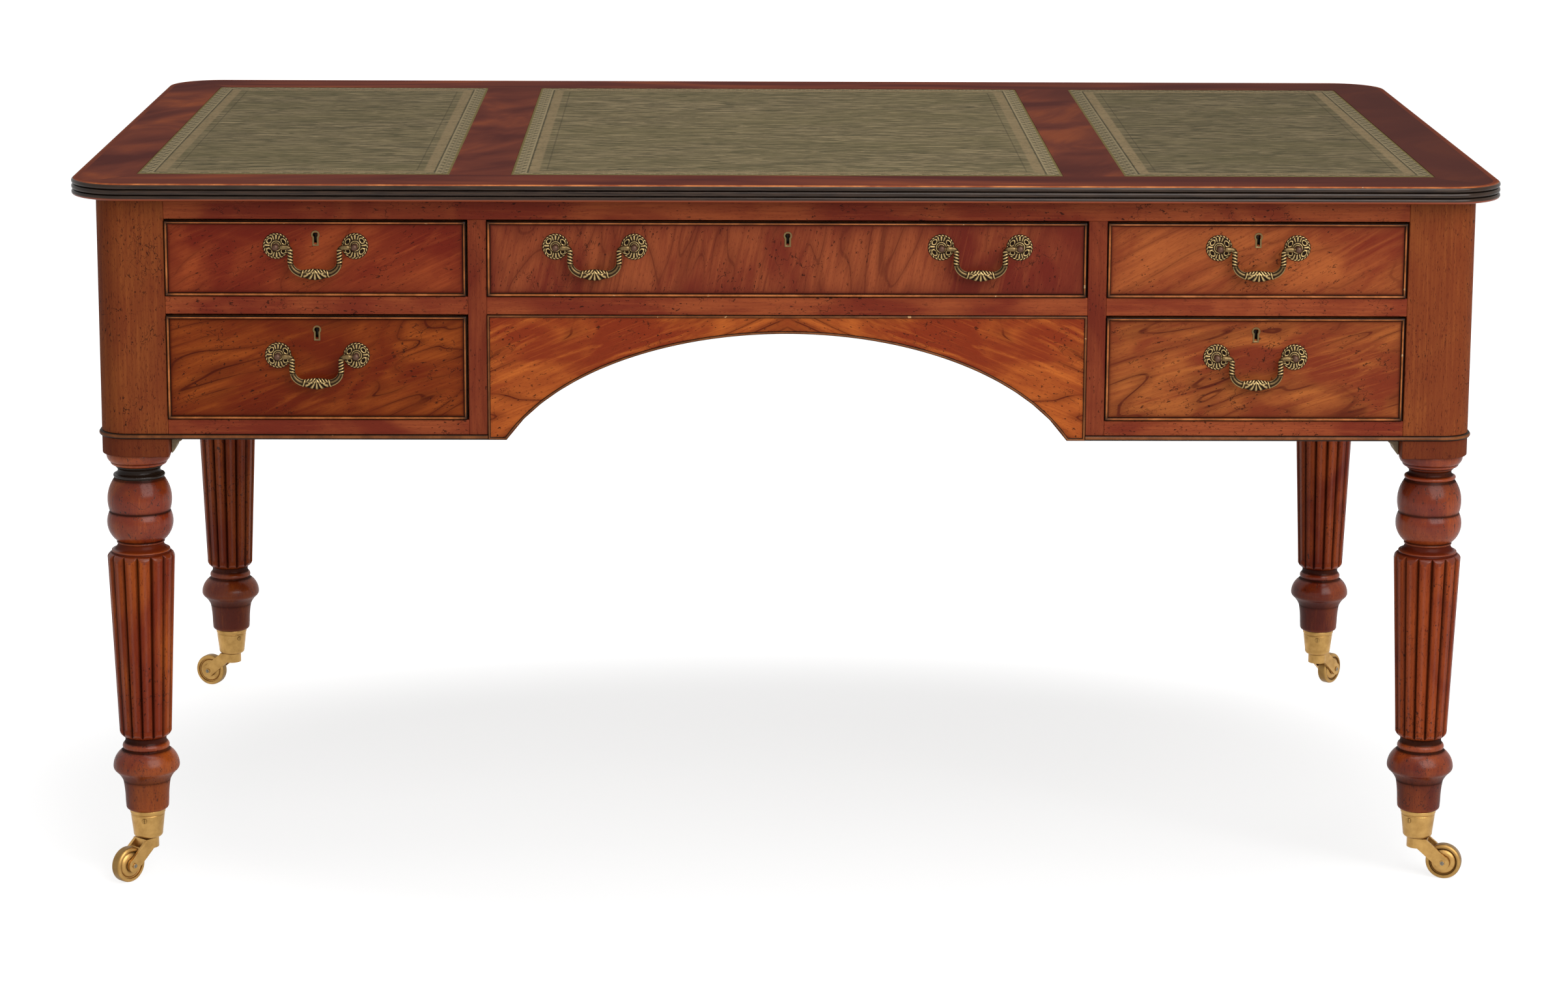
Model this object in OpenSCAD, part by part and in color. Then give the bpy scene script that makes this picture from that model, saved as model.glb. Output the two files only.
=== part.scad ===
// Partners desk: ten drawers, five to each long side, on four turned and reeded legs with castors.
// X runs along the desk, the front is towards -Y, and Z = 0 is the floor.

/* [Overall] */
// Length of the top
top_w = 1525; // [1400:5:1700]
// Depth of the top, from the front to the back
top_d = 915; // [860:5:1000]
// Height of the writing surface above the floor
desk_h = 777; // [750:1:800]
// Thickness of the top and of its edge moulding
top_t = 18; // [16:0.5:24]
// Radius of the top's corners
top_corner_r = 62; // [45:1:80]
// How far the top stands out past the carcase
overhang = 26; // [20:1:34]

/* [Writing surface] */
// Length of the middle leather
mid_leather_w = 592; // [500:1:640]
// Wooden band between two leathers
leather_band = 66; // [50:1:80]
// Wooden margin at the left and right ends
leather_end_margin = 66.5; // [50:0.5:80]
// Wooden margin at the front and back
leather_side_margin = 78; // [50:1:90]
// Thickness of the leather
leather_t = 1.4; // [1:0.1:2.5]
// How far the leather lies below the wood
leather_drop = 0.2; // [0.1:0.1:0.5]

/* [Edge moulding] */
// Width of the moulding, measured from the board
mould_w = 8; // [6:0.5:12]
// Radius of each of its three reeds
reed_r = 3.1; // [3.05:0.01:3.3]

/* [Carcase] */
// Width of the square corner posts
post_w = 75; // [60:1:85]
// Radius of the rounded outer corner of each post
post_r = 32; // [20:1:40]
// Length of the square block left below the carcase
block_h = 20; // [14:1:30]
// Thickness of the rails
rail_t = 20; // [16:1:25]
// Height of the top rail
top_rail_h = 22.6; // [18:0.1:30]
// Height of an upper drawer's opening
upper_h = 83; // [70:1:95]
// Height of the rail between the drawers
mid_rail_h = 19.2; // [16:0.1:24]
// Height of a lower drawer's opening
lower_h = 114.5; // [90:0.5:125]
// Height of the bottom rail
bottom_rail_h = 21.7; // [18:0.1:30]
// Length of the tenons on the rails
tenon_l = 14; // [8:1:20]
// Thickness of the tenons on the rails
tenon_t = 8; // [6:1:10]
// Thickness of the end panels
panel_t = 19; // [15:1:24]
// Width of the kneehole between its two sides
knee_w = 640; // [560:5:680]
// Thickness of the kneehole's sides
stile_w = 20; // [16:1:25]
// Thickness of the boards under and behind the drawers
inner_t = 10; // [8:1:14]
// Glue line around the inner boards
glue_gap = 0.2; // [0.1:0.1:0.4]

/* [Kneehole arch] */
// Thickness of the arched apron
apron_t = 18; // [14:1:22]
// Rise of the arch at its middle
arch_rise = 116; // [80:1:125]
// Width of the flat at each end of the arch
arch_foot = 20; // [14:1:40]

/* [Beads] */
// Height of the astragal around the foot of the carcase
base_bead_h = 6; // [4:0.5:8]
// Width of the bead around the apron
apron_bead_w = 3; // [2:0.5:5]
// How far the apron's bead stands out
apron_bead_t = 2; // [1:0.25:3]
// Width of the cockbead around each drawer
cockbead_w = 3; // [2:0.25:4]
// How far the cockbead stands out
cockbead_t = 2.4; // [1.5:0.1:3.5]

/* [Drawers] */
// Thickness of the drawer fronts
face_t = 20; // [16:1:24]
// Clearance around the drawer fronts
face_gap = 0.7; // [0.4:0.1:0.9]
// Clearance beside and under the drawer boxes
run_gap = 0.4; // [0.3:0.1:0.8]
// Thickness of the drawer sides and back
side_t = 10; // [8:1:14]
// Thickness of the drawer bottoms
bottom_t = 6; // [4:0.5:9]
// Height of the bottom above the lower edge of the sides
bottom_rise = 8; // [5:1:12]
// How much lower than the opening the sides are
side_drop = 6; // [4:1:12]
// Gap behind the drawers
back_gap = 6; // [3:1:12]

/* [Handles and locks] */
// Distance between the two posts of a handle
post_gap = 83.4; // [76:0.1:90]
// Place of the centre drawer's handles, as a share of its half width
centre_handle_share = 0.64; // [0.5:0.01:0.74]
// Height of the posts above the middle of the opening
handle_rise = 13; // [5:0.5:15]
// How far the posts stand out to the bail's axis
reach = 10.5; // [9.5:0.1:13]
// Radius of the round ball on each post
ball_r = 3.8; // [3.5:0.1:4.4]
// Radius of the rosettes
rosette_r = 14.2; // [12:0.1:16]
// Thickness of the rosettes
rosette_t = 1.4; // [1:0.1:2]
// Radius of the bail's rod
rod_r = 2.9; // [2.4:0.1:3.1]
// Distance between the two arms of a bail
arm_gap = 52; // [46:0.5:56]
// Drop of the bail from its axis to the middle of its grip
bail_drop = 28; // [24:0.5:32]
// Radius of the pins at the ends of the bail
pin_r = 1.6; // [1.3:0.05:1.8]
// Running clearance of the bail's pins
pin_clear = 0.1; // [0.05:0.01:0.25]
// Radius of the bolt behind each post
bolt_r = 2; // [1.5:0.1:2.5]
// Height of the keyhole escutcheons
escutcheon_h = 17.5; // [15:0.1:20]
// Width of the keyhole escutcheons across their round heads
escutcheon_w = 9.2; // [8.4:0.1:11]
// Width of the brass around the keyhole
escutcheon_rim = 1.3; // [0.9:0.1:1.6]
// Thickness of the keyhole escutcheons
escutcheon_t = 1; // [0.8:0.1:1.4]
// Distance from the top of the opening to the middle of the keyhole
keyhole_drop = 19.4; // [17:0.1:24]
// Width of the lock's case
lock_w = 64; // [50:1:80]
// Height of the lock's case
lock_h = 32; // [26:1:40]
// Thickness of the lock's case
lock_t = 11; // [8:0.5:14]

/* [Legs] */
// Radius of the reeded shaft at its top
shaft_top_r = 36.3; // [34:0.1:37]
// Radius of the reeded shaft at its foot
shaft_foot_r = 28.5; // [26:0.1:31]
// Number of reeds
reed_n = 14; // [12:1:18]
// Depth of the grooves between the reeds
groove_d = 4.2; // [3:0.1:5]
// Radius of the two bulbs above the shaft
bulb_r = 35.8; // [33:0.1:36.5]
// Radius of the vase at the foot of the leg
vase_r = 36; // [33:0.1:37]

/* [Castors] */
// Radius of the castor wheels
wheel_r = 19.5; // [17:0.5:20]
// Width of the castor wheels
wheel_w = 14; // [11:0.5:16]
// Trail of the wheel behind its swivel
trail = 30; // [28:0.5:33]
// Thickness of the fork's arms
arm_t = 3.5; // [3:0.1:4.5]
// Clearance between the wheel's hub and each arm
hub_gap = 0.5; // [0.3:0.1:0.8]
// Height of the brass cup
cup_h = 32; // [28:1:36]
// Height of the cup's bottom above the floor
cup_z = 45; // [44:0.5:48]
// Radius of the cup's rim
cup_r = 19.3; // [18:0.1:20]
// Wall of the cup
cup_t = 1.6; // [1.2:0.1:2]
// Radius of the swivel's stem
stem_r = 4; // [3:0.5:5]
// Radius of the wheel's axle
axle_r = 3; // [2.5:0.1:3.5]
// Running clearance of the stem and the axle
spin_clear = 0.05; // [0.02:0.01:0.09]
// Gap between the fork and the cup
swivel_gap = 0.5; // [0.3:0.1:0.8]
// Rest angles of the trail: front left, front right, back left, back right
castor_turn = [229, -18, 158, 50]; // [-180:1:360]

/* [Hidden] */
half_w = top_w / 2 - overhang;
half_d = top_d / 2 - overhang;
carcase_top = desk_h - top_t;
upper_top = carcase_top - top_rail_h;
upper_z = upper_top - upper_h;
lower_top = upper_z - mid_rail_h;
lower_z = lower_top - lower_h;
carcase_z = lower_z - bottom_rail_h;
block_z = carcase_z - block_h;
bay_in = knee_w / 2 + stile_w;
bay_out = half_w - post_w;
bay_x = (bay_in + bay_out) / 2;
bay_w = bay_out - bay_in;
centre_handle_x = centre_handle_share * knee_w / 2;
leg_x = half_w - post_w / 2;
leg_y = half_d - post_w / 2;
panel_in = half_w - panel_t;
cup_top = cup_z + cup_h;
shaft_top_z = block_z - 121;
shaft_foot_z = cup_top + 93;
groove_spread = 1.95;
lock_keyhole_r = 2.2;
rosette_lobes = 14;
rosette_scallop = 0.7;
grip_t = 6.8;
tyre_gap = 1.5;
ear_l = 30;
fine = 64;
small = 32;

mahogany = "#7a3a20";
ebonised = "#2a2420";
olive = "#5f5a3c";
oak = "#a98a5c";
brass = "#b0904c";
antique = "#8a7a50";

// name, middle in x, width, lowest z and height of the opening, and the middles of its handles
OPENINGS = [
    ["top_left", -bay_x, bay_w, upper_z, upper_h, [0]],
    ["top_centre", 0, knee_w, upper_z, upper_h, [-centre_handle_x, centre_handle_x]],
    ["top_right", bay_x, bay_w, upper_z, upper_h, [0]],
    ["bottom_left", -bay_x, bay_w, lower_z, lower_h, [0]],
    ["bottom_right", bay_x, bay_w, lower_z, lower_h, [0]]
];
SIDES = [["front", 0], ["back", 180]];
CORNERS = [["front_left", -1, -1], ["front_right", 1, -1], ["back_left", -1, 1], ["back_right", 1, 1]];

function drawer_name(s, o) = str(s[0], "_", o[0]);
function bail_name(s, o, i) = str(drawer_name(s, o), len(o[5]) > 1 ? (i == 0 ? "_a" : "_b") : "", "_bail");

// Points of an arc from a to b that swells by h to the left of that line, without its first point
function swell(a, b, h, n = 6) =
    let (d = b - a, c = norm(d), u = d / c, v = [-u[1], u[0]],
         r = (c * c / 4 + h * h) / (2 * h), half = asin(min(1, c / 2 / abs(r))),
         full = abs(h) > c / 2 ? 180 - half : half, m = (a + b) / 2 + v * (h - r))
    [for (i = [1 : n]) i == n ? b : let (t = -full + 2 * full * i / n) m + u * abs(r) * sin(t) + v * r * cos(t)];

// A box from its lowest to its highest corner
module span(lo, hi) {
    translate(lo) cube(hi - lo);
}

// Both long sides of the desk
module both_sides() {
    for (s = SIDES) rotate(s[1]) children();
}

// Both ends of the desk
module both_ends() {
    for (m = [0, 1]) mirror([m, 0, 0]) children();
}

// A rounded slab that stands on z = 0
module slab(w, d, r, t) {
    linear_extrude(t) union() {
        square([w - 2 * r, d], center = true);
        square([w, d - 2 * r], center = true);
        for (x = [-1, 1], y = [-1, 1]) translate([x * (w / 2 - r), y * (d / 2 - r)]) circle(r, $fn = fine);
    }
}

// A profile carried round a corner of radius r, whose straight runs start at its two ends
module corner_run(r) {
    rotate_extrude(angle = 90, $fn = 96) translate([r, 0]) children();
}

module straight_run(l) {
    rotate([90, 0, 0]) linear_extrude(l) children();
}

// Where the leathers lie: the middle in x and the length of each
function leather_w() = top_w / 2 - leather_end_margin - mid_leather_w / 2 - leather_band;
function leathers() = [[0, mid_leather_w],
    for (s = [-1, 1]) [s * (mid_leather_w / 2 + leather_band + leather_w() / 2), leather_w()]];

module leather_slabs(z, t) {
    leather_d = top_d - 2 * leather_side_margin;
    for (l = leathers()) translate([l[0] - l[1] / 2, -leather_d / 2, z]) cube([l[1], leather_d, t]);
}

module top_board() {
    color(mahogany) difference() {
        translate([0, 0, carcase_top])
            slab(top_w - 2 * mould_w, top_d - 2 * mould_w, top_corner_r - mould_w, top_t);
        leather_slabs(desk_h - leather_t - leather_drop, leather_t + leather_drop + 1);
    }
}

module writing_leathers() {
    color(olive) leather_slabs(desk_h - leather_t - leather_drop, leather_t);
}

// Three reeds, one above the other, as an outline from the board outwards
module reeded_profile() {
    pitch = (top_t - 2 * reed_r) / 2;
    nip = acos(pitch / 2 / reed_r);
    stand = mould_w - reed_r;
    polygon(concat([[0, 0]],
        [for (i = [0 : 2], k = [0 : 8])
            let (lo = i == 0 ? -90 : -90 + nip, hi = i == 2 ? 90 : 90 - nip, t = lo + (hi - lo) * k / 8)
            [stand + reed_r * cos(t), reed_r + i * pitch + reed_r * sin(t)]],
        [[0, top_t]]));
}

module edge_moulding() {
    r = top_corner_r - mould_w;
    x = top_w / 2 - top_corner_r;
    y = top_d / 2 - top_corner_r;
    color(ebonised) translate([0, 0, carcase_top]) both_sides() {
        translate([x, y, 0]) corner_run(r) reeded_profile();
        translate([x + r, y, 0]) straight_run(2 * y) reeded_profile();
        translate([-x, y, 0]) rotate(90) corner_run(r) reeded_profile();
        translate([-x, y + r, 0]) rotate(90) straight_run(2 * x) reeded_profile();
    }
}

// Tenons and the mortises that take them, cut to one size
module rail_tenon(z, h) {
    front = -half_d + (rail_t - tenon_t) / 2;
    span([bay_out - 1, front, z], [bay_out + tenon_l, front + tenon_t, z + h]);
}

module rail_tenons() {
    rail_tenon(upper_top, top_rail_h);
    rail_tenon(lower_top, mid_rail_h);
    rail_tenon(carcase_z, bottom_rail_h);
}

module rails() {
    back = -half_d + rail_t;
    color(mahogany) both_sides() {
        span([-bay_out, -half_d, upper_top], [bay_out, back, carcase_top]);
        span([-knee_w / 2, -half_d, lower_top], [knee_w / 2, back, upper_z]);
        both_ends() {
            span([bay_in, -half_d, lower_top], [bay_out, back, upper_z]);
            span([bay_in, -half_d, carcase_z], [bay_out, back, lower_z]);
            rail_tenons();
        }
    }
}

// The end panels and the two sides of the kneehole, whose front edges show as stiles
module carcase_panels() {
    color(mahogany) both_ends() {
        span([panel_in, -half_d + post_w, carcase_z], [half_w, half_d - post_w, carcase_top]);
        difference() {
            span([knee_w / 2, -half_d, carcase_z], [bay_in, half_d, carcase_top]);
            both_sides() span([-bay_out, -half_d - 1, upper_top], [bay_out, -half_d + rail_t, carcase_top + 1]);
        }
    }
}

// The side of the ogee ears that stiffen the leg blocks
module ear() {
    linear_extrude(ear_l) polygon(concat([[0, 0], [0, -block_h]],
        swell([0, -block_h], [5, -block_h * 0.62], -0.8, 4),
        swell([5, -block_h * 0.62], [11, -block_h * 0.3], 1.4, 4),
        [[12, 0]]));
}

module inner_boards() {
    back = -half_d + rail_t + glue_gap;
    g = glue_gap;
    guide_y = -half_d + post_w + g;
    color(oak) {
        span([-knee_w / 2 + g, -inner_t / 2, lower_top + g], [knee_w / 2 - g, inner_t / 2, carcase_top - g]);
        both_ends() span([bay_in + g, -inner_t / 2, carcase_z + g], [panel_in - g, inner_t / 2, carcase_top - g]);
        both_sides() {
            span([-knee_w / 2 + g, back, upper_z - inner_t], [knee_w / 2 - g, -inner_t / 2 - g, upper_z]);
            span([-stile_w, back, upper_top], [stile_w, -inner_t / 2 - g, carcase_top - g]);
            both_ends() {
                for (z = [upper_z, lower_z]) {
                    span([bay_in + g, back, z - inner_t], [bay_out - g, -inner_t / 2 - g, z]);
                    span([bay_out, guide_y, z - inner_t], [panel_in - g, -inner_t / 2 - g, z + inner_t]);
                }
                span([bay_x - stile_w, back, upper_top], [bay_x + stile_w, -inner_t / 2 - g, carcase_top - g]);
            }
        }
        for (c = CORNERS) translate([c[1] * leg_x, c[2] * leg_y, carcase_z]) {
            side = post_w / 2 + g;
            translate([-c[1] * side, -ear_l / 2, -g]) mirror([c[1] > 0 ? 1 : 0, 0, 0])
                rotate([90, 0, 0]) mirror([0, 0, 1]) ear();
            translate([-ear_l / 2, -c[2] * side, -g]) mirror([0, c[2] > 0 ? 1 : 0, 0])
                rotate([90, 0, 90]) ear();
        }
    }
}

// The arch is part of an ellipse as wide as the kneehole
function arch_b() = arch_rise / (1 - sqrt(1 - pow(1 - 2 * arch_foot / knee_w, 2)));
function arch_curve(up, n = 32) =
    let (a = knee_w / 2, half = a - arch_foot, b = arch_b())
    [for (i = [0 : n]) let (x = -half + 2 * half * i / n)
        [x, carcase_z + arch_rise - b * (1 - sqrt(1 - pow(x / a, 2))) + up]];

module apron_outline(top) {
    half = knee_w / 2;
    polygon(concat([[half, carcase_z], [half, top], [-half, top], [-half, carcase_z]], arch_curve(0)));
}

module kneehole_aprons() {
    color(mahogany) both_sides()
        translate([0, -half_d + apron_t, 0]) rotate([90, 0, 0]) linear_extrude(apron_t) apron_outline(lower_top);
}

// Half-round bead, as an outline from the wall outwards
module half_round(h) {
    polygon([for (k = [0 : 8]) let (t = -90 + 180 * k / 8) [h / 2 * cos(t), h / 2 + h / 2 * sin(t)]]);
}

// The ribbon of bead along the arch, up the sides and under the rail
module apron_bead() {
    half = knee_w / 2;
    foot = half - arch_foot;
    top = lower_top;
    linear_extrude(apron_bead_t) difference() {
        apron_outline(top);
        polygon(concat([[half - apron_bead_w, carcase_z + apron_bead_w], [half - apron_bead_w, top - apron_bead_w],
            [-half + apron_bead_w, top - apron_bead_w], [-half + apron_bead_w, carcase_z + apron_bead_w]],
            [for (p = arch_curve(apron_bead_w)) [p[0] * (foot - apron_bead_w) / foot, p[1]]]));
    }
}

module carcase_beads() {
    x = half_w - post_r;
    y = half_d - post_r;
    color(ebonised) {
        both_sides() translate([0, -half_d, 0]) rotate([90, 0, 0]) apron_bead();
        translate([0, 0, carcase_z]) both_sides() {
            translate([x, y, 0]) corner_run(post_r) half_round(base_bead_h);
            translate([half_w, y, 0]) straight_run(2 * y) half_round(base_bead_h);
            translate([x, -y, 0]) rotate(-90) corner_run(post_r) half_round(base_bead_h);
            translate([x, -half_d, 0]) rotate(-90) straight_run(x - knee_w / 2) half_round(base_bead_h);
            translate([knee_w / 2, half_d, 0]) rotate(90) straight_run(x - knee_w / 2) half_round(base_bead_h);
        }
    }
}

// The turned leg's outline: mouldings hung from the block, the tapering shaft, and the vase and tenon below
function leg_outline() =
    let (t = block_z, c = cup_top, m = bulb_r, v = vase_r, inner = cup_r - cup_t)
    concat([[0, t + 1], [33, t + 1]],
        [[33, t]], swell([33, t], [31.5, t - 13], 2.2), [[27, t - 14]],
        swell([27, t - 14], [26, t - 18], 0.8, 4),
        swell([26, t - 18], [26.7, t - 28], -3.8),
        [[27.5, t - 30]], swell([27.5, t - 30], [m - 3, t - 65.5], m - 31.6, 10),
        swell([m - 3, t - 65.5], [27, t - 98], m - 30.3, 10),
        [[27.5, t - 100]], swell([27.5, t - 100], [26.5, t - 106], -1.4, 4),
        [[30, t - 107]], swell([30, t - 107], [31.5, t - 112], 0.8, 4),
        [[shaft_top_r - 3, t - 113]], swell([shaft_top_r - 3, t - 113], [shaft_top_r, shaft_top_z], 1.2, 4),
        [[shaft_foot_r, shaft_foot_z]], swell([shaft_foot_r, shaft_foot_z], [23, c + 83], 2, 5),
        swell([23, c + 83], [23, c + 76], -2.6, 4),
        swell([23, c + 76], [24, c + 69], 2.2, 5),
        swell([26, c + 68], [v, c + 50], 2, 5), swell([v, c + 50], [33.5, c + 44], 0.8, 4),
        swell([33.5, c + 44], [25.7, c + 33], -0.8, 4),
        swell([25.7, c + 33], [23.6, c + 10], -0.5, 4), [[23.2, c + 4]],
        swell([23.2, c + 4], [cup_r + 0.6, c], 1, 4),
        [[inner, c], [inner - 3, cup_z + 7], [0, cup_z + 7]]);

// Vertical prisms that cut the grooves and lean with the taper of the shaft
module reed_grooves() {
    shaft_l = shaft_top_z - shaft_foot_z;
    lean = atan((shaft_top_r - shaft_foot_r) / shaft_l);
    wide = groove_spread * groove_d;
    run_out = 14;
    for (i = [0 : reed_n - 1])
        rotate((i + 0.5) * 360 / reed_n) translate([shaft_foot_r, 0, shaft_foot_z]) rotate([0, lean, 0])
            translate([0, 0, -run_out]) linear_extrude(shaft_l + 2 * run_out)
                polygon([[-groove_d, 0], [2, -wide], [2, wide]]);
}

module legs() {
    color(mahogany) for (c = CORNERS) translate([c[1] * leg_x, c[2] * leg_y, 0])
        mirror([c[1] < 0 ? 1 : 0, 0, 0]) mirror([0, c[2] < 0 ? 1 : 0, 0]) {
            difference() {
                union() {
                    difference() {
                        rotate_extrude($fn = 96) polygon(leg_outline());
                        reed_grooves();
                    }
                    translate([-post_w / 2, -post_w / 2, block_z]) linear_extrude(carcase_top - block_z) union() {
                        square([post_w - post_r, post_w]);
                        square([post_w, post_w - post_r]);
                        translate([post_w - post_r, post_w - post_r]) circle(post_r, $fn = fine);
                    }
                }
                translate([-leg_x, -leg_y, 0]) mirror([0, 1, 0]) rail_tenons();
                translate([0, 0, cup_z + 6]) cylinder(r = stem_r + 3.5, h = 9, $fn = small);
            }
        }
}

// Brass cups that hold the feet of the legs and carry the swivels
module castor_cups() {
    inner = cup_r - cup_t;
    color(brass) for (c = CORNERS) translate([c[1] * leg_x, c[2] * leg_y, 0]) difference() {
        rotate_extrude($fn = 96) polygon(concat([[0, cup_z], [cup_r - 7.3, cup_z]],
            swell([cup_r - 7.3, cup_z], [cup_r - 3.3, cup_z + 5], -1.4, 4),
            [[cup_r - 0.9, cup_top - 6.4], [cup_r - 1.4, cup_top - 6], [cup_r - 1.4, cup_top - 5.2],
             [cup_r - 0.5, cup_top - 4.6], [cup_r, cup_top - 1], [cup_r - 0.4, cup_top], [inner, cup_top],
             [inner - 3, cup_z + 7], [0, cup_z + 7]]));
        translate([0, 0, cup_z - 1]) cylinder(r = stem_r + spin_clear, h = 10, $fn = small);
    }
}

// Places a castor's piece at its leg, turned to its rest angle
module at_castor(i) {
    c = CORNERS[i];
    translate([c[1] * leg_x, c[2] * leg_y, 0]) rotate(castor_turn[i]) children();
}

module castor_fork() {
    inside = wheel_w / 2 + hub_gap;
    outside = inside + arm_t;
    block_top = cup_z - swivel_gap;
    block_low = wheel_r + 14;
    end_r = 7.5;
    lean = 35;
    color(brass) {
        difference() {
            union() {
                translate([0, 0, block_low]) cylinder(r = outside + 0.4, h = block_top - block_low, $fn = fine);
                span([0, -outside, block_low], [outside + 1, outside, block_top]);
            }
            translate([trail, wheel_w, wheel_r]) rotate([90, 0, 0])
                cylinder(r = wheel_r + tyre_gap, h = 2 * wheel_w, $fn = fine);
        }
        for (s = [-1, 1]) translate([0, s * (inside + outside) / 2 + arm_t / 2, 0]) rotate([90, 0, 0]) {
            linear_extrude(arm_t) polygon([[-2, block_top - 8], [-2, block_top - 1], [outside + 1, block_top - 1],
                [trail + end_r * cos(lean), wheel_r + end_r * sin(lean)],
                [trail - end_r * cos(lean), wheel_r - end_r * sin(lean)]]);
            translate([trail, wheel_r, 0]) cylinder(r = end_r, h = arm_t, $fn = small);
        }
        translate([trail, outside + 1.2, wheel_r]) rotate([90, 0, 0])
            cylinder(r = axle_r, h = 2 * outside + 2.4, $fn = small);
        translate([0, 0, block_top - 1]) cylinder(r = stem_r, h = cup_z + 10 - block_top, $fn = small);
        translate([0, 0, cup_z + 7.4]) cylinder(r = stem_r + 2.5, h = 3, $fn = small);
    }
}

module castor_wheel() {
    h = wheel_w / 2;
    bore = axle_r + spin_clear;
    rim = wheel_r - 4;
    color(brass) translate([trail, 0, wheel_r]) rotate([90, 0, 0]) rotate_extrude($fn = 96)
        polygon(concat([[bore, -h], [bore + 4, -h], [bore + 5, -h + 1], [bore + 7, -h + 3], [rim - 1, -h + 3],
            [rim, -h + 0.6]], swell([rim, -h + 0.6], [wheel_r, -h + 4], -1.2, 4),
            swell([wheel_r, h - 4], [rim, h - 0.6], -1.2, 4),
            [[rim - 1, h - 3], [bore + 7, h - 3], [bore + 5, h - 1], [bore + 4, h], [bore, h]]));
}

// A frame of bead with mitred corners and a round nose, swept round a rectangle as one closed surface
module mitred_bead(w, h, depth) {
    r = cockbead_w / 2;
    ring = concat([[0, 0]], [for (k = [0 : 6]) let (t = 180 * k / 6) [r - r * cos(t), depth - r + r * sin(t)]],
        [[cockbead_w, 0]]);
    n = len(ring);
    points = [for (c = [[-1, -1], [1, -1], [1, 1], [-1, 1]], p = ring)
        [c[0] * (w / 2 - p[0]), c[1] * (h / 2 - p[0]), p[1]]];
    faces = [for (k = [0 : 3], i = [0 : n - 1]) let (a = k * n, b = (k + 1) % 4 * n, j = (i + 1) % n)
        [a + i, a + j, b + j, b + i]];
    polyhedron(points, faces);
}

// A drawer's front board, seen with its opening's middle at x = 0, standing on its opening's floor
module drawer_face(o) {
    w = o[2] - 2 * face_gap;
    h = o[4] - 2 * face_gap;
    mid = o[4] / 2;
    color(mahogany) difference() {
        union() {
            span([-w / 2, -half_d, face_gap], [w / 2, -half_d + face_t, face_gap + h]);
            translate([0, -half_d + 1, mid]) rotate([90, 0, 0]) mitred_bead(w, h, cockbead_t + 1);
        }
        for (x = o[5], s = [-1, 1]) translate([x + s * post_gap / 2, -half_d - 1, mid + handle_rise])
            rotate([-90, 0, 0]) cylinder(r = bolt_r + 0.1, h = face_t + 2, $fn = small);
        translate([0, -half_d + face_t + 1, o[4] - keyhole_drop]) rotate([90, 0, 0])
            linear_extrude(face_t + 2) keyhole(escutcheon_rim / 2);
    }
}

// A drawer's sides, back and bottom, in the same place
module drawer_box(o) {
    w = o[2] - 2 * run_gap;
    front = -half_d + face_t;
    back = -inner_t / 2 - back_gap;
    top = o[4] - side_drop;
    color(oak) {
        for (s = [-1, 1]) span([min(s * w / 2, s * (w / 2 - side_t)), front, run_gap],
            [max(s * w / 2, s * (w / 2 - side_t)), back, top]);
        span([-w / 2 + 1, back - side_t, run_gap + bottom_rise], [w / 2 - 1, back, top]);
        span([-w / 2 + 1, front, run_gap + bottom_rise], [w / 2 - 1, back - 1, run_gap + bottom_rise + bottom_t]);
    }
}

// One post with its rosette in front of the board and its bolt and nut behind
module handle_post(s) {
    color(antique) difference() {
        union() {
            rotate([90, 0, 0]) linear_extrude(rosette_t) polygon([for (k = [1 : 4 * rosette_lobes])
                let (t = 90 * k / rosette_lobes, dip = rosette_scallop * (1 + cos(rosette_lobes * t)) / 2)
                (rosette_r - dip) * [cos(t), sin(t)]]);
            rotate([90, 0, 0]) rotate_extrude($fn = small) polygon(concat([[0, 0], [8, 0], [8, rosette_t]],
                swell([8, rosette_t], [3.4, rosette_t + 1.6], -0.6, 4), [[2.4, reach - 3], [0, reach - 3]]));
            // The ball's poles lie on the pin's axis, so that the bore cuts it in a plain circle.
            translate([0, -reach, 0]) rotate([0, 90, 0]) sphere(ball_r, $fn = small);
            rotate([-90, 0, 0]) translate([0, 0, -1]) cylinder(r = bolt_r, h = face_t + 7, $fn = small);
            rotate([-90, 0, 0]) translate([0, 0, face_t]) cylinder(r = bolt_r + 3, h = 3.2, $fn = 6);
        }
        translate([0, -reach, 0]) rotate([0, -s * 90, 0]) translate([0, 0, -1.8])
            cylinder(r = pin_r + pin_clear, h = 10, $fn = small);
    }
}

// The outline of a keyhole escutcheon, a round head over a slot, drawn in all round by inset
module keyhole(inset) {
    slot = escutcheon_w / 3 - inset;
    translate([0, escutcheon_h / 2 - escutcheon_w / 2]) circle(escutcheon_w / 2 - inset, $fn = small);
    translate([-slot, inset - escutcheon_h / 2]) square([2 * slot, escutcheon_h - escutcheon_w / 2 - inset]);
}

module escutcheon(o) {
    z = o[4] - keyhole_drop;
    color(antique) translate([0, -half_d, z]) rotate([90, 0, 0]) difference() {
        linear_extrude(escutcheon_t) keyhole(0);
        translate([0, 0, -1]) linear_extrude(escutcheon_t + 2) keyhole(escutcheon_rim);
    }
    color(antique) translate([0, -half_d + face_t, z]) difference() {
        span([-lock_w / 2, 0, -lock_h * 0.75], [lock_w / 2, lock_t, lock_h / 4]);
        translate([0, -1, 0]) rotate([-90, 0, 0]) cylinder(r = lock_keyhole_r, h = lock_t - 1, $fn = small);
    }
}

module drawer_fittings(o) {
    for (x = o[5], s = [-1, 1])
        translate([x + s * post_gap / 2, -half_d, o[4] / 2 + handle_rise]) handle_post(s);
    escutcheon(o);
}

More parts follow.
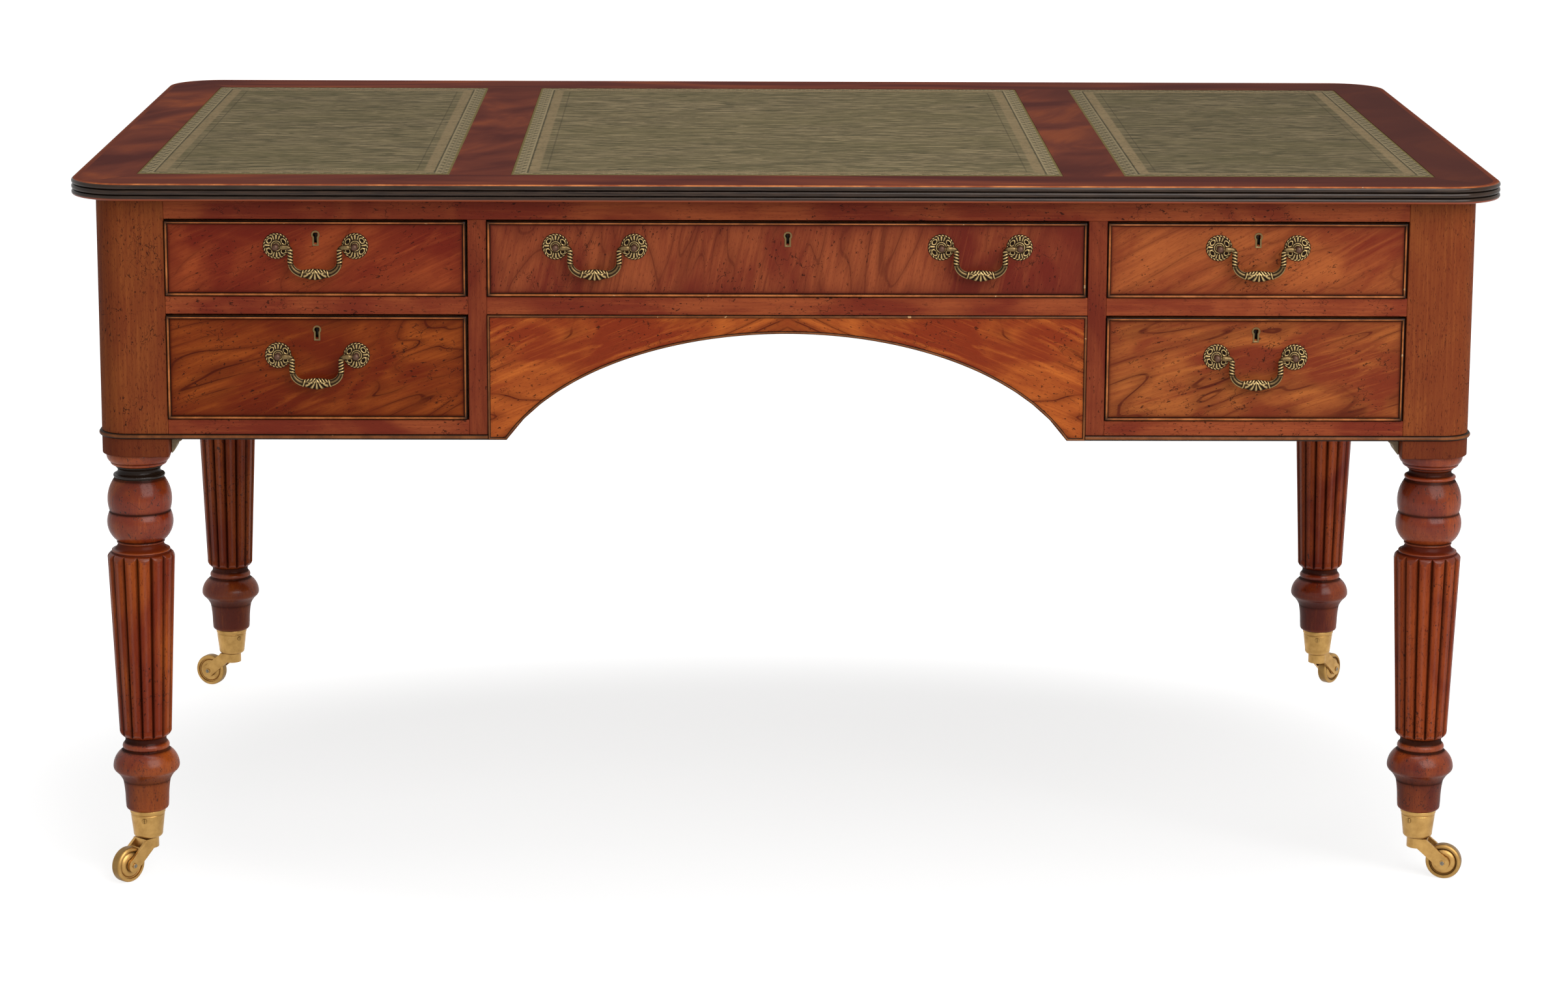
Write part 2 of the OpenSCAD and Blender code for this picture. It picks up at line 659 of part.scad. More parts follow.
// A swan-neck bail about its own axis, with its arms hanging down
module bail() {
    top_bend = 4.6;
    low_bend = 13;
    arm_x = arm_gap / 2;
    end_x = post_gap / 2 - ball_r - 0.5;
    color(antique) {
        both_ends() {
            translate([end_x - 1, 0, 0]) rotate([0, 90, 0])
                cylinder(r = pin_r, h = post_gap / 2 + 1.5 - end_x + 1, $fn = small);
            translate([arm_x + top_bend, 0, 0]) rotate([0, 90, 0])
                cylinder(r = rod_r, h = end_x - arm_x - top_bend, $fn = small);
            translate([arm_x + top_bend, 0, -top_bend]) rotate([90, 0, 0]) rotate(90)
                rotate_extrude(angle = 90, $fn = 48) translate([top_bend, 0]) circle(rod_r, $fn = small);
            translate([arm_x, 0, -bail_drop + low_bend])
                cylinder(r = rod_r, h = bail_drop - low_bend - top_bend, $fn = small);
            translate([arm_x - low_bend, 0, -bail_drop + low_bend]) rotate([90, 0, 0]) rotate(-90)
                rotate_extrude(angle = 90, $fn = 48) translate([low_bend, 0]) circle(rod_r, $fn = small);
        }
        translate([low_bend - arm_x, 0, -bail_drop]) rotate([0, 90, 0])
            cylinder(r = rod_r, h = 2 * (arm_x - low_bend), $fn = small);
        // The shell in the middle of the grip.
        translate([0, grip_t / 2, -bail_drop]) rotate([90, 0, 0]) linear_extrude(grip_t) polygon([[-15, -1.6], [-8, -5],
            [0, -6.8], [8, -5], [15, -1.6], [14, 2.2], [9, 6], [-9, 6], [-14, 2.2]]);
    }
}

top_board();
edge_moulding();
writing_leathers();
legs();
castor_cups();
rails();
carcase_panels();
inner_boards();
kneehole_aprons();
carcase_beads();
for (s = SIDES, o = OPENINGS) rotate(s[1]) translate([o[1], 0, o[3]]) {
    drawer_face(o);
    drawer_box(o);
    drawer_fittings(o);
    for (i = [0 : len(o[5]) - 1]) translate([o[5][i], -half_d - reach, o[4] / 2 + handle_rise])
        bail();
}
for (i = [0 : 3]) {
    at_castor(i) castor_fork();
    at_castor(i) castor_wheel();
}
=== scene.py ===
"""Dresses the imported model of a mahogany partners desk: turned legs, veneers, tooled leathers and brass."""

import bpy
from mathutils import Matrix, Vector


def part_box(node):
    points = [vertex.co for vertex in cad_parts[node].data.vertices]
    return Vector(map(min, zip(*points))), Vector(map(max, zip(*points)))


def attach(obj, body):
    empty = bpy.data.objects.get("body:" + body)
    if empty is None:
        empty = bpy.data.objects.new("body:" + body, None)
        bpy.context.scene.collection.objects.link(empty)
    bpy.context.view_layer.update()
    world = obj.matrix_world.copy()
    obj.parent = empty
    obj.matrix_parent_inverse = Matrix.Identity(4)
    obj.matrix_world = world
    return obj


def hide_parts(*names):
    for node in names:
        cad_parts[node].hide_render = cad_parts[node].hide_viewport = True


bl_info = {
    "name": "Partners Desk",
    "version": (1, 0, 0),
    "blender": (4, 5, 0),
    "location": "3D View > Sidebar > Desk",
    "description": "Builds the visible pieces of a mahogany partners desk around its packed model",
    "category": "Add Mesh",
}

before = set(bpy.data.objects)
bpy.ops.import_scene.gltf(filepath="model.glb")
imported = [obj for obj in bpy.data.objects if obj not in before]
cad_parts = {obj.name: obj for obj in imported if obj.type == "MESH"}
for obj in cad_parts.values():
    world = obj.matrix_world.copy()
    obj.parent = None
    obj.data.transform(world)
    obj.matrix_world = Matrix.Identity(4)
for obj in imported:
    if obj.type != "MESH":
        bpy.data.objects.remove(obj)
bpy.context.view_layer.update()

import math
from types import SimpleNamespace

import bmesh
import bpy
import numpy as np
from bpy.props import FloatProperty, FloatVectorProperty, IntProperty, PointerProperty
from mathutils import Matrix, Vector

TAU = 2 * math.pi
SIDES = ("front", "back")
DRAWERS = ("top_left", "top_centre", "top_right", "bottom_left", "bottom_right")
CORNERS = (("front_left", -1, -1), ("front_right", 1, -1), ("back_left", -1, 1), ("back_right", 1, 1))
UP = np.array([0.0, 0.0, 1.0])


def linear(code):
    """The linear colour of an sRGB hex code, as red, green, blue and alpha."""
    values = [int(code[k:k + 2], 16) / 255 for k in (1, 3, 5)]
    return tuple(v / 12.92 if v <= 0.04045 else ((v + 0.055) / 1.055) ** 2.4 for v in values) + (1.0,)


def millimetres(node):
    """The lowest and highest corner of a CAD node in millimetres, with its own side of the desk in front."""
    low, high = (np.array(corner) * 1000 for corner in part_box(node))
    if node.startswith("back_"):
        low[:2], high[:2] = -high[:2].copy(), -low[:2].copy()
    return low, high


def length(name, description, default):
    return FloatProperty(name=name, description=description, default=default, unit="LENGTH",
                         subtype="DISTANCE")


def colour(name, description, code):
    return FloatVectorProperty(name=name, description=description, default=linear(code), size=4, min=0, max=1,
                               subtype="COLOR")


class DeskSizes(bpy.types.PropertyGroup):
    """Sizes of the pieces that the operators build."""

    top_corner: length("Top corner", "Radius of the corners of the moulded top", 0.062)
    moulding: length("Moulding width", "How far the edge moulding stands out from the board", 0.008)
    reed: length("Moulding reed", "Radius of each reed of the edge moulding", 0.0031)
    post: length("Post", "Width of the square corner posts", 0.075)
    post_corner: length("Post corner", "Radius of the rounded outer corner of a post", 0.032)
    block_foot: length("Block foot", "Height of the underside of the leg blocks", 0.478)
    shaft_top: length("Shaft top", "Radius of the reeded shaft at its top", 0.0363)
    shaft_foot: length("Shaft foot", "Radius of the reeded shaft at its foot", 0.0285)
    reeds: IntProperty(name="Reeds", description="Number of reeds on each leg", default=14, min=8, max=24)
    cockbead: length("Cockbead", "Width of the bead around a drawer", 0.003)
    cockbead_stand: length("Cockbead height", "How far the cockbead stands out", 0.0024)
    slack: length("Drawer slack", "Worn gap above and to the right of a drawer front", 0.001)
    apron_bead: length("Apron bead", "Width of the bead around the kneehole apron", 0.003)
    base_bead: length("Base bead", "Height of the astragal around the foot of the carcase", 0.006)
    arch_rise: length("Arch rise", "Rise of the kneehole arch", 0.116)
    arch_foot: length("Arch foot", "Width of the flat at each end of the arch", 0.020)
    rosette: length("Rosette", "Radius of the rosettes", 0.0142)
    ball: length("Ball", "Radius of the ball on each handle post", 0.0040)
    reach: length("Reach", "How far the balls stand out from the drawer", 0.0105)
    post_gap: length("Handle posts", "Distance between the two posts of a handle", 0.0834)
    rod: length("Bail rod", "Radius of the bail's pins and arms", 0.0029)
    drop: length("Bail drop", "Drop of the bail from its axis to the middle of its grip", 0.028)
    keyhole_drop: length("Keyhole", "Distance from the top of a drawer front to its keyhole", 0.0187)
    wheel: length("Castor wheel", "Radius of the castor wheels", 0.0195)
    wheel_width: length("Wheel width", "Width of the castor wheels", 0.014)
    trail: length("Castor trail", "Distance of a wheel's axle behind its swivel", 0.030)
    cup: length("Castor cup", "Radius of the cup at its rim", 0.0193)
    middle_leather: length("Middle leather", "Length of the middle leather", 0.592)
    leather_band: length("Leather band", "Wooden band between two leathers", 0.066)
    leather_border: length("Leather border", "Width of the tooled border of the leathers", 0.017)
    softness: length("Edge softness", "Radius worn onto the carcase's sharp edges", 0.0007)


def in_millimetres():
    """The sizes of the pieces with each length in millimetres."""
    sizes = bpy.context.scene.desk_sizes
    values = {name: getattr(sizes, name) for name in sizes.__annotations__}
    return SimpleNamespace(**{name: value * 1000 if isinstance(value, float) else value
                              for name, value in values.items()})


class DeskColours(bpy.types.PropertyGroup):
    """Colours of the finishes."""

    rail: colour("Rails", "Polished mahogany of the rails", "#823924")
    stile: colour("Stiles", "Polished mahogany of the kneehole's stiles", "#722f1f")
    apron: colour("Aprons", "Striped veneer of the arched aprons", "#994621")
    post: colour("Posts", "Polished mahogany of the corner posts", "#7e3d21")
    leg: colour("Legs", "Polished mahogany of the turned legs", "#8e3c16")
    top_left: colour("Top left drawer", "Veneer of the small drawer on the left", "#83351f")
    top_centre: colour("Centre drawer", "Veneer of the long drawer", "#7e3825")
    top_right: colour("Top right drawer", "Veneer of the small drawer on the right", "#8c4226")
    bottom_left: colour("Bottom left drawer", "Veneer of the deep drawer on the left", "#7c3415")
    bottom_right: colour("Bottom right drawer", "Veneer of the deep drawer on the right", "#8f4726")
    top_wood: colour("Top veneer", "Veneer of the bands round the leathers", "#5a2718")
    # Dirt and wax, and also painted shade laid in the hollows and recesses.
    grime: colour("Grime", "Wax and dirt in the hollows", "#1d0d08")
    worn_wood: colour("Worn wood", "Wood where the ebonising has rubbed away", "#bf7440")
    bead_crown: colour("Bead crown", "Browned crown of the drawers' beads", "#a8602f")
    ebonised: colour("Ebonised wood", "Black stained beads and mouldings", "#21160f")
    leather: colour("Leather", "Olive hide of the writing surface", "#60543c")
    gilding: colour("Gilding", "Worn gold of the tooled border", "#766448")
    brass_patina: colour("Brass patina", "Dark hollows of the antique brass", "#1b0f08")
    brass_old: colour("Antique brass", "Body of the handles", "#584428")
    brass_worn: colour("Rubbed brass", "Ridges of the handles where hands have polished them", "#b29866")
    brass_bright: colour("Polished brass", "Castors and cups", "#bd9558")
    bronzing: colour("Bronzing", "Pinkish brown balls of the handle posts", "#583d2c")
    softwood: colour("Softwood", "Aged boards inside the carcase", "#8c7a5c")
    oak: colour("Oak", "Waxed oak of the drawer linings", "#b48f5c")


def grid_faces(rows, columns, wrap_rows=False, wrap_columns=False):
    """Four-cornered faces between the neighbouring points of a grid, closed on itself where it wraps."""
    i = np.arange(rows if wrap_rows else rows - 1)[:, None]
    j = np.arange(columns if wrap_columns else columns - 1)[None, :]
    across, down = (j + 1) % columns, (i + 1) % rows
    corners = (i * columns + j, i * columns + across, down * columns + across, down * columns + j)
    return np.stack(np.broadcast_arrays(*corners), axis=-1).reshape(-1, 4)


def enclosed(points, faces):
    """The volume inside a closed surface, negative if its faces point inwards: the sum of a . (b x c) / 6."""
    a, b, c, d = (points[faces[:, k]] for k in range(4))
    return (np.einsum("ij,ij->i", a, np.cross(b, c)) + np.einsum("ij,ij->i", a, np.cross(c, d))).sum() / 6


class Surface:
    """Closed surfaces gathered into one piece, in millimetres, with named values at their points."""

    # The first value darkens hollows and recesses, both for dirt and as painted shade.
    names = ("grime", "wear", "edge", "run", "stain", "dull")

    def __init__(self):
        self.points, self.faces, self.finish, self.count = [], [], [], 0
        self.values = {name: [] for name in self.names}

    def add(self, points, wrap_rows=False, caps=True, finish=0, **values):
        """Adds a grid of points whose rows are rings. Caps close the first and last ring on their middles."""
        rows, columns = points.shape[:2]
        values = {name: np.broadcast_to(value, (rows, columns)) for name, value in values.items()}
        if caps and not wrap_rows:
            ends = [np.broadcast_to(points[k].mean(axis=0), (1, columns, 3)) for k in (0, -1)]
            points = np.concatenate([ends[0], points, ends[1]])
            values = {name: np.concatenate([v[:1], v, v[-1:]]) for name, v in values.items()}
            rows += 2
        self.keep(points.reshape(-1, 3), grid_faces(rows, columns, wrap_rows, True), finish, values)

    def add_slab(self, top, under, cells, **values):
        """Adds a plate between two grids: the cells of each, and walls along the edges of one cell only."""
        count = top.shape[0] * top.shape[1]
        edges = np.concatenate([cells[:, [k, (k + 1) % 4]] for k in range(4)])
        a, b = edges[~np.isin(edges[:, 0] * count + edges[:, 1], edges[:, 1] * count + edges[:, 0])].T
        walls = np.stack([b, a, a + count, b + count], axis=1)
        faces = np.concatenate([cells, cells[:, ::-1] + count, walls])
        values = {name: np.stack([np.broadcast_to(value, top.shape[:2])] * 2)
                  for name, value in values.items()}
        self.keep(np.concatenate([top.reshape(-1, 3), under.reshape(-1, 3)]), faces, 0, values)

    def keep(self, points, faces, finish, values):
        """Takes in one closed surface and turns its faces outwards."""
        if enclosed(points, faces) < 0:
            faces = faces[:, ::-1]
        self.points.append(points)
        self.faces.append(faces + self.count)
        self.finish.append(np.full(len(faces), finish))
        for name in self.names:
            self.values[name].append(values[name].reshape(-1) if name in values else np.zeros(len(points)))
        self.count += len(points)

    def take(self, other):
        """Adds all that another surface holds."""
        self.points += other.points
        self.faces += [faces + self.count for faces in other.faces]
        self.finish += other.finish
        for name in self.names:
            self.values[name] += other.values[name]
        self.count += other.count

    def move(self, matrix):
        """Turns and shifts all that has been added, by a 4 x 4 matrix in millimetres."""
        m = np.array(matrix)
        self.points = [p @ m[:3, :3].T + m[:3, 3] for p in self.points]

    def piece(self, name, body, slot, finishes, replaces=(), sharp=38):
        """Welds the surfaces into one object that rides on a body."""
        mesh = bpy.data.meshes.new(name)
        mesh.from_pydata(np.concatenate(self.points) / 1000, [], np.concatenate(self.faces))
        for finish in finishes:
            mesh.materials.append(finish)
        mesh.polygons.foreach_set("material_index", np.concatenate(self.finish).astype(np.int32))
        for key, parts in self.values.items():
            whole = np.concatenate(parts)
            if whole.any():
                mesh.attributes.new(key, "FLOAT", "POINT").data.foreach_set("value", whole.astype(np.float32))
        welded = bmesh.new()
        welded.from_mesh(mesh)
        bmesh.ops.remove_doubles(welded, verts=welded.verts, dist=2e-6)
        bmesh.ops.dissolve_degenerate(welded, edges=welded.edges, dist=1e-7)
        welded.to_mesh(mesh)
        welded.free()
        return settle(name, mesh, body, slot, replaces, sharp)


def settle(name, mesh, body, slot, replaces, sharp):
    """Puts a finished mesh into the scene as a piece of the desk."""
    mesh.polygons.foreach_set("use_smooth", np.ones(len(mesh.polygons), dtype=bool))
    mesh.set_sharp_from_angle(angle=math.radians(sharp))
    mesh.update()
    piece = bpy.data.objects.new(name, mesh)
    bpy.context.scene.collection.objects.link(piece)
    if replaces:
        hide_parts(*replaces)
    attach(piece, body)
    return piece


def softened_copy(node, name, body, slot, finish, radius):
    """A merged copy of a CAD node whose sharp edges are rubbed round by a live bevel."""
    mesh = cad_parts[node].data.copy()
    mesh.name = name
    merged = bmesh.new()
    merged.from_mesh(mesh)
    bmesh.ops.remove_doubles(merged, verts=merged.verts, dist=1e-5)
    bmesh.ops.dissolve_limit(merged, angle_limit=math.radians(1), verts=merged.verts, edges=merged.edges)
    merged.to_mesh(mesh)
    merged.free()
    mesh.materials.clear()
    mesh.materials.append(finish)
    piece = settle(name, mesh, body, slot, (node,), 38)
    bevel = piece.modifiers.new("Worn edges", "BEVEL")
    bevel.width = radius
    bevel.segments = 2
    bevel.limit_method = "ANGLE"
    bevel.angle_limit = math.radians(38)
    return piece


def resampled(outline, step):
    """The outline again, with points at equal steps along its length."""
    outline = np.asarray(outline, dtype=float)
    along = np.concatenate([[0], np.cumsum(np.linalg.norm(np.diff(outline, axis=0), axis=1))])
    stops = np.linspace(0, along[-1], int(along[-1] / step) + 2)
    return np.stack([np.interp(stops, along, column) for column in outline.T], axis=1)


def arc(centre, radius, start, end, steps):
    """Points of a circle's arc between two angles in degrees."""
    t = np.radians(np.linspace(start, end, steps + 1))
    return np.stack([centre[0] + radius * np.cos(t), centre[1] + radius * np.sin(t)], axis=1)


def swell(a, b, h, steps=8):
    """Arc from a to b that bulges by h to the left of that line, without its first point."""
    a, b = np.array(a, dtype=float), np.array(b, dtype=float)
    chord = np.linalg.norm(b - a)
    u = (b - a) / chord
    v = np.array([-u[1], u[0]])
    r = (chord * chord / 4 + h * h) / (2 * h)
    half = math.asin(min(1, chord / 2 / abs(r)))
    half = math.pi - half if abs(h) > chord / 2 else half
    t = -half + 2 * half * np.arange(1, steps + 1)[:, None] / steps
    return (a + b) / 2 + v * (h - r) + u * abs(r) * np.sin(t) + v * r * np.cos(t)


def moulded(stops):
    """An outline through stops of x and y, some with the bulge and steps of the arc that leads to them."""
    parts = [np.array([stops[0]], dtype=float)]
    for before, (x, y, *bend) in zip(stops, stops[1:]):
        parts.append(swell(before[:2], (x, y), *bend) if bend else [(x, y)])
    return np.concatenate(parts)


def hollows(outline, reach):
    """Depth of each point below the mean of its neighbours: above 0 in hollows, below 0 on ridges."""
    apart = np.linalg.norm(outline[:, None] - outline[None], axis=2)
    near = np.exp(-(apart / reach) ** 2)
    mean = near @ outline / near.sum(axis=1)[:, None]
    tangent = np.gradient(outline, axis=0)
    normal = np.stack([-tangent[:, 1], tangent[:, 0]], axis=1)
    normal /= np.maximum(np.linalg.norm(normal, axis=1), 1e-9)[:, None]
    return np.einsum("ij,ij->i", mean - outline, normal) * (1 if tangent[:, 1].sum() < 0 else -1)


def blurred(heights, rounds):
    """Heights of a grid averaged with their four neighbours, so many times."""
    for _ in range(rounds):
        heights = sum(np.roll(heights, shift, axis)
                      for shift, axis in ((1, 0), (-1, 0), (1, 1), (-1, 1), (0, 0))) / 5
    return heights


def revolved(outline, steps):
    """An outline of (radius, height) turned round Z: x = radius cos t, y = radius sin t, z = height."""
    t = np.arange(steps) * TAU / steps
    radius, height = np.asarray(outline, dtype=float).T[..., None]
    return np.stack(np.broadcast_arrays(radius * np.cos(t), radius * np.sin(t), height), axis=-1)


def swept(path, out, profile):
    """A profile carried along a level path: point = path + profile_x * out + profile_y * up."""
    return path[:, None] + profile[None, :, :1] * out[:, None] + profile[None, :, 1:] * UP


def rounded_rectangle(width, depth, radius, z, steps=14):
    """Closed path round a rectangle with quarter-circle corners, with its outward normals."""
    t = np.concatenate([np.linspace(k, k + 1, steps + 1) for k in range(4)]) * math.pi / 2
    normal = np.stack([np.cos(t), np.sin(t), 0 * t], axis=1)
    corner = np.repeat(np.array([[1, 1], [-1, 1], [-1, -1], [1, -1]]), steps + 1, axis=0)
    middle = np.stack([corner[:, 0] * (width / 2 - radius), corner[:, 1] * (depth / 2 - radius), 0 * t + z],
                      axis=1)
    return middle + radius * normal, normal


def box_surface(low, high, soft):
    """A box with softened edges, as rings of a rounded square stacked from its floor to its top."""
    low, high = np.asarray(low, dtype=float), np.asarray(high, dtype=float)
    size, middle = high - low, (low + high) / 2
    rings = []
    for inset, z in ((soft, 0), (0, soft), (0, size[2] - soft), (soft, size[2])):
        ring, _ = rounded_rectangle(size[0] - 2 * inset, size[1] - 2 * inset, soft, z, 2)
        rings.append(ring + [*middle[:2], low[2]])
    return np.stack(rings)


TEXTURE = {"vector_type": "TEXTURE"}
SMOOTH = {"interpolation_type": "SMOOTHSTEP"}
COLOUR = {"data_type": "RGBA"}
UNDER_POLISH = {"Roughness": 0.6, "Specular_IOR_Level": 0.0}
TIMES, PLUS, LESS, MOST, ONE_OF = (
    {"operation": word} for word in ("MULTIPLY", "ADD", "SUBTRACT", "MAXIMUM", "ABSOLUTE"))


def add_node(tree, kind, *inputs, out=0, **settings):
    """Adds a node. Inputs fill its sockets in order; settings go to its properties or to sockets by name."""
    node = tree.nodes.new("ShaderNode" + kind)
    named = {key.replace("_", " "): value for key, value in settings.items() if not hasattr(node, key)}
    for key, value in settings.items():
        if hasattr(node, key):
            setattr(node, key, value)
    sockets = [socket for socket in node.inputs if socket.enabled]
    for socket, value in [*zip(sockets, inputs),
                          *((node.inputs[key], value) for key, value in named.items())]:
        if isinstance(value, bpy.types.NodeSocket):
            tree.links.new(value, socket)
        else:
            socket.default_value = value
    return [socket for socket in node.outputs if socket.enabled][out] if node.outputs else None


class Finish:
    """A material in the making, which starts from the piece's own coordinates and ends in one shader."""

    def __init__(self, name):
        self.material = bpy.data.materials.new(name)
        self.material.use_nodes = True
        self.tree = self.material.node_tree
        self.tree.nodes.clear()
        self.place = self.add("TexCoord", out=3)

    def add(self, kind, *inputs, out=0, **settings):
        return add_node(self.tree, kind, *inputs, out=out, **settings)

    def done(self, shader):
        self.add("OutputMaterial", shader)
        return self.material


def ready(name, make, *options, **more):
    """The finish of that name, made when it is first asked for."""
    return bpy.data.materials.get(name) or make(name, *options, **more)


def toned(shade, red, green, blue):
    """A colour with its red, green and blue multiplied."""
    return shade[0] * red, shade[1] * green, shade[2] * blue, 1.0


def polished_mahogany(name, shade, slant=0.0, figure=0.5, lines=0.5, shift=0.0, grain=0.4, pores=0.6,
                      coat=0.1, gloss=0.3, cloudy=1.0, matched=False):
    """Mahogany veneer, stained and French polished: soft lights, dark curling lines, pores, a quiet shine.

    The grain rises to the right by slant, in degrees. Figure, lines, grain, pores and cloudy are the
    strengths of the stripes, the curling lines, the fine grain, the pores and the slow change from dark to
    light. Matched veneer is mirrored about the middle.
    """
    colours = bpy.context.scene.desk_colours
    grime, ebonised = colours.grime, colours.ebonised
    made = Finish(name)
    add = made.add
    place = made.place
    if matched:
        x, y, z = (add("SeparateXYZ", place, out=k) for k in range(3))
        place = add("CombineXYZ", add("Math", x, **ONE_OF), y, z)
    # Each pattern's length and width in metres, then its detail, roughness, lacunarity and distortion.
    clouds, stripes, slow, fine, dashes, specks, groups, cracks = (
        add("TexNoise", add("Mapping", place, (shift,) * 3, (0, -math.radians(slant), 0),
                            (along, across, across), **TEXTURE), 1.0, *detail)
        for along, across, *detail in (
            (0.13, 0.07, 3.0, 0.5, 2.0, 0.7), (0.12, 0.016, 4.0, 0.6, 2.0, 1.1),
            (0.26, 0.055, 1.6, 0.42, 2.0, 0.7), (0.08, 0.003, 3.0, 0.65), (0.006, 0.0007, 2.0, 0.6),
            (0.006, 0.003, 2.0, 0.7), (0.06, 0.06, 1.0), (0.05, 0.035, 4.0, 0.6)))
    sunk, border, ridge, stain, dull = (add("Attribute", out=2, attribute_name=word)
                                        for word in ("grime", "edge", "wear", "stain", "dull"))
    # Long dark lines with soft flanks follow the levels of a slow noise, and fade where the clouds are dark.
    level = add("Math", add("Math", slow, 8.0, **TIMES), 0.5, operation="PINGPONG")
    curls = add("Math", add("MapRange", level, 0.01, 0.07, 0.95 * lines, 0.0, **SMOOTH),
                add("MapRange", level, 0.0, 0.36, 0.5 * lines, 0.0, **SMOOTH), **MOST)
    curls = add("Math", curls, add("MapRange", clouds, 0.40, 0.56, **SMOOTH), **TIMES)
    # Knocks and ink-black specks of long use, 1 to 3 mm across, in loose groups, with a few hairline cracks.
    specks = add("Math", add("MapRange", specks, 0.63, 0.675, **SMOOTH),
                 add("MapRange", groups, 0.38, 0.54, **SMOOTH), **TIMES)
    cracks = add("Math", add("Math", cracks, 0.5, **LESS), **ONE_OF)
    cracks = add("Math", add("MapRange", cracks, 0.0015, 0.005, 0.9, 0.0),
                 add("MapRange", groups, 0.52, 0.6), **TIMES)
    knocks = add("Math", specks, cracks, **MOST)
    dashes = add("MapRange", dashes, 0.58, 0.72, 0.0, pores, **SMOOTH)
    hollow = add("Math", sunk, add("MapRange", groups, 0.3, 0.7, 0.75, 1.0), **TIMES)
    # The layers from the dark ground upwards: clouds, light and dark stripes, lines, fine grain, pores filled
    # with dark wax, knocks, wax and painted shade in the hollows, darker borders, paler ridges, and black
    # stain.
    body = toned(shade, 0.62, 0.42, 0.52)
    for mask, tone in (
            (add("MapRange", clouds, 0.36, 0.62, 0.5 - 0.5 * cloudy, 0.5 + 0.5 * cloudy, **SMOOTH),
             toned(shade, 1.3, 1.62, 1.22)),
            (add("MapRange", stripes, 0.50, 0.72, 0.0, figure, **SMOOTH), toned(shade, 1.55, 2.05, 1.5)),
            (add("MapRange", stripes, 0.46, 0.28, 0.0, figure, **SMOOTH), toned(shade, 0.62, 0.46, 0.55)),
            (curls, toned(shade, 0.22, 0.13, 0.2)),
            (add("MapRange", fine, 0.42, 0.66, 0.0, 0.8 * grain, **SMOOTH), toned(shade, 0.62, 0.48, 0.54)),
            (add("MapRange", fine, 0.46, 0.3, 0.0, 0.6 * grain, **SMOOTH), toned(shade, 1.45, 1.75, 1.3)),
            (dashes, toned(shade, 0.42, 0.32, 0.4)),
            (add("Math", knocks, 0.8, **TIMES), grime),
            (add("Math", hollow, 0.94, use_clamp=True, **TIMES), grime),
            (add("Math", border, 0.6, **TIMES), toned(shade, 0.42, 0.32, 0.4)),
            (add("Math", ridge, 0.45, **TIMES), toned(shade, 1.5, 1.9, 1.6)),
            (stain, ebonised)):
        body = add("Mix", mask, body, tone, **COLOUR)
    rough = add("MapRange", clouds, 0.3, 0.7, gloss - 0.04, gloss + 0.08)
    dull = add("Math", hollow, dull, **MOST)
    shine = add("Math", add("MapRange", dull, 0.0, 1.0, coat, 0.1 * coat),
                add("Math", stain, 0.25, **TIMES), **MOST)
    relief = add("Math", dashes, add("Math", knocks, 2.0, **TIMES), **PLUS)
    normal = add("Bump", Strength=0.25, Distance=-0.0003, Height=relief)
    return made.done(add("BsdfPrincipled", Base_Color=body, **UNDER_POLISH,
                         Normal=normal, Coat_Weight=shine, Coat_Roughness=rough, Coat_Normal=normal))


def crossbanded_mahogany(name):
    """Mahogany veneer laid in mitred bands round the leathers, each with its grain across or along X."""
    colours = bpy.context.scene.desk_colours
    shade = colours.top_wood
    made = Finish(name)
    add = made.add
    board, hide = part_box("top_board")[1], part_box("writing_leathers")[1]
    x, y = (add("Math", add("SeparateXYZ", made.place, out=k), **ONE_OF) for k in (0, 1))
    # Above 0 in the front and back bands, below 0 elsewhere; the mitres run from corner to corner.
    ends = add("Math", add("Math", board[0], x, **LESS), add("Math", board[1], y, **LESS), **LESS)
    ahead = add("MapRange", y, hide[1] - 0.0004, hide[1] + 0.0004)
    front = add("Math", add("MapRange", ends, -0.0004, 0.0004), ahead, **TIMES)
    figures = []
    for turn, sizes in ((1.2, ((0.17, 0.09, 0.05), (0.07, 0.005, 0.005))),
                        (0.03, ((0.30, 0.06, 0.05), (0.11, 0.004, 0.004)))):
        warp, fine = (add("TexNoise", add("Mapping", made.place, (0.3, 0, 0), (0, 0, turn), size,
                                          **TEXTURE), 1.0, 3.0, 0.5, 2.0, 0.8) for size in sizes)
        body = toned(shade, 0.5, 0.38, 0.5)
        for mask, tone in ((add("MapRange", warp, 0.32, 0.6, **SMOOTH), (1.0, 1.0, 1.0)),
                           (add("MapRange", warp, 0.52, 0.74, 0.0, 0.85, **SMOOTH), (1.9, 2.1, 1.2)),
                           (add("MapRange", fine, 0.35, 0.7, 0.0, 0.25), (0.7, 0.6, 0.7))):
            body = add("Mix", mask, body, toned(shade, *tone), **COLOUR)
        figures.append(body)
    body = add("Mix", front, *figures, **COLOUR)
    # The bands darken to the right, and a dark line of glue shows at each mitre.
    right = add("SeparateXYZ", made.place)
    right = add("MapRange", right, 0.25 * board[0], 0.95 * board[0], 0.0, 0.85)
    seam = add("MapRange", add("Math", ends, **ONE_OF), 0.0003, 0.0012, 0.6, 0.0)
    body = add("Mix", right, body, toned(shade, 0.45, 0.5, 0.7), **COLOUR)
    body = add("Mix", add("Math", seam, ahead, **TIMES), body, colours.grime, **COLOUR)
    return made.done(add("BsdfPrincipled", Base_Color=body, **UNDER_POLISH,
                         Coat_Weight=0.05, Coat_Roughness=0.2))


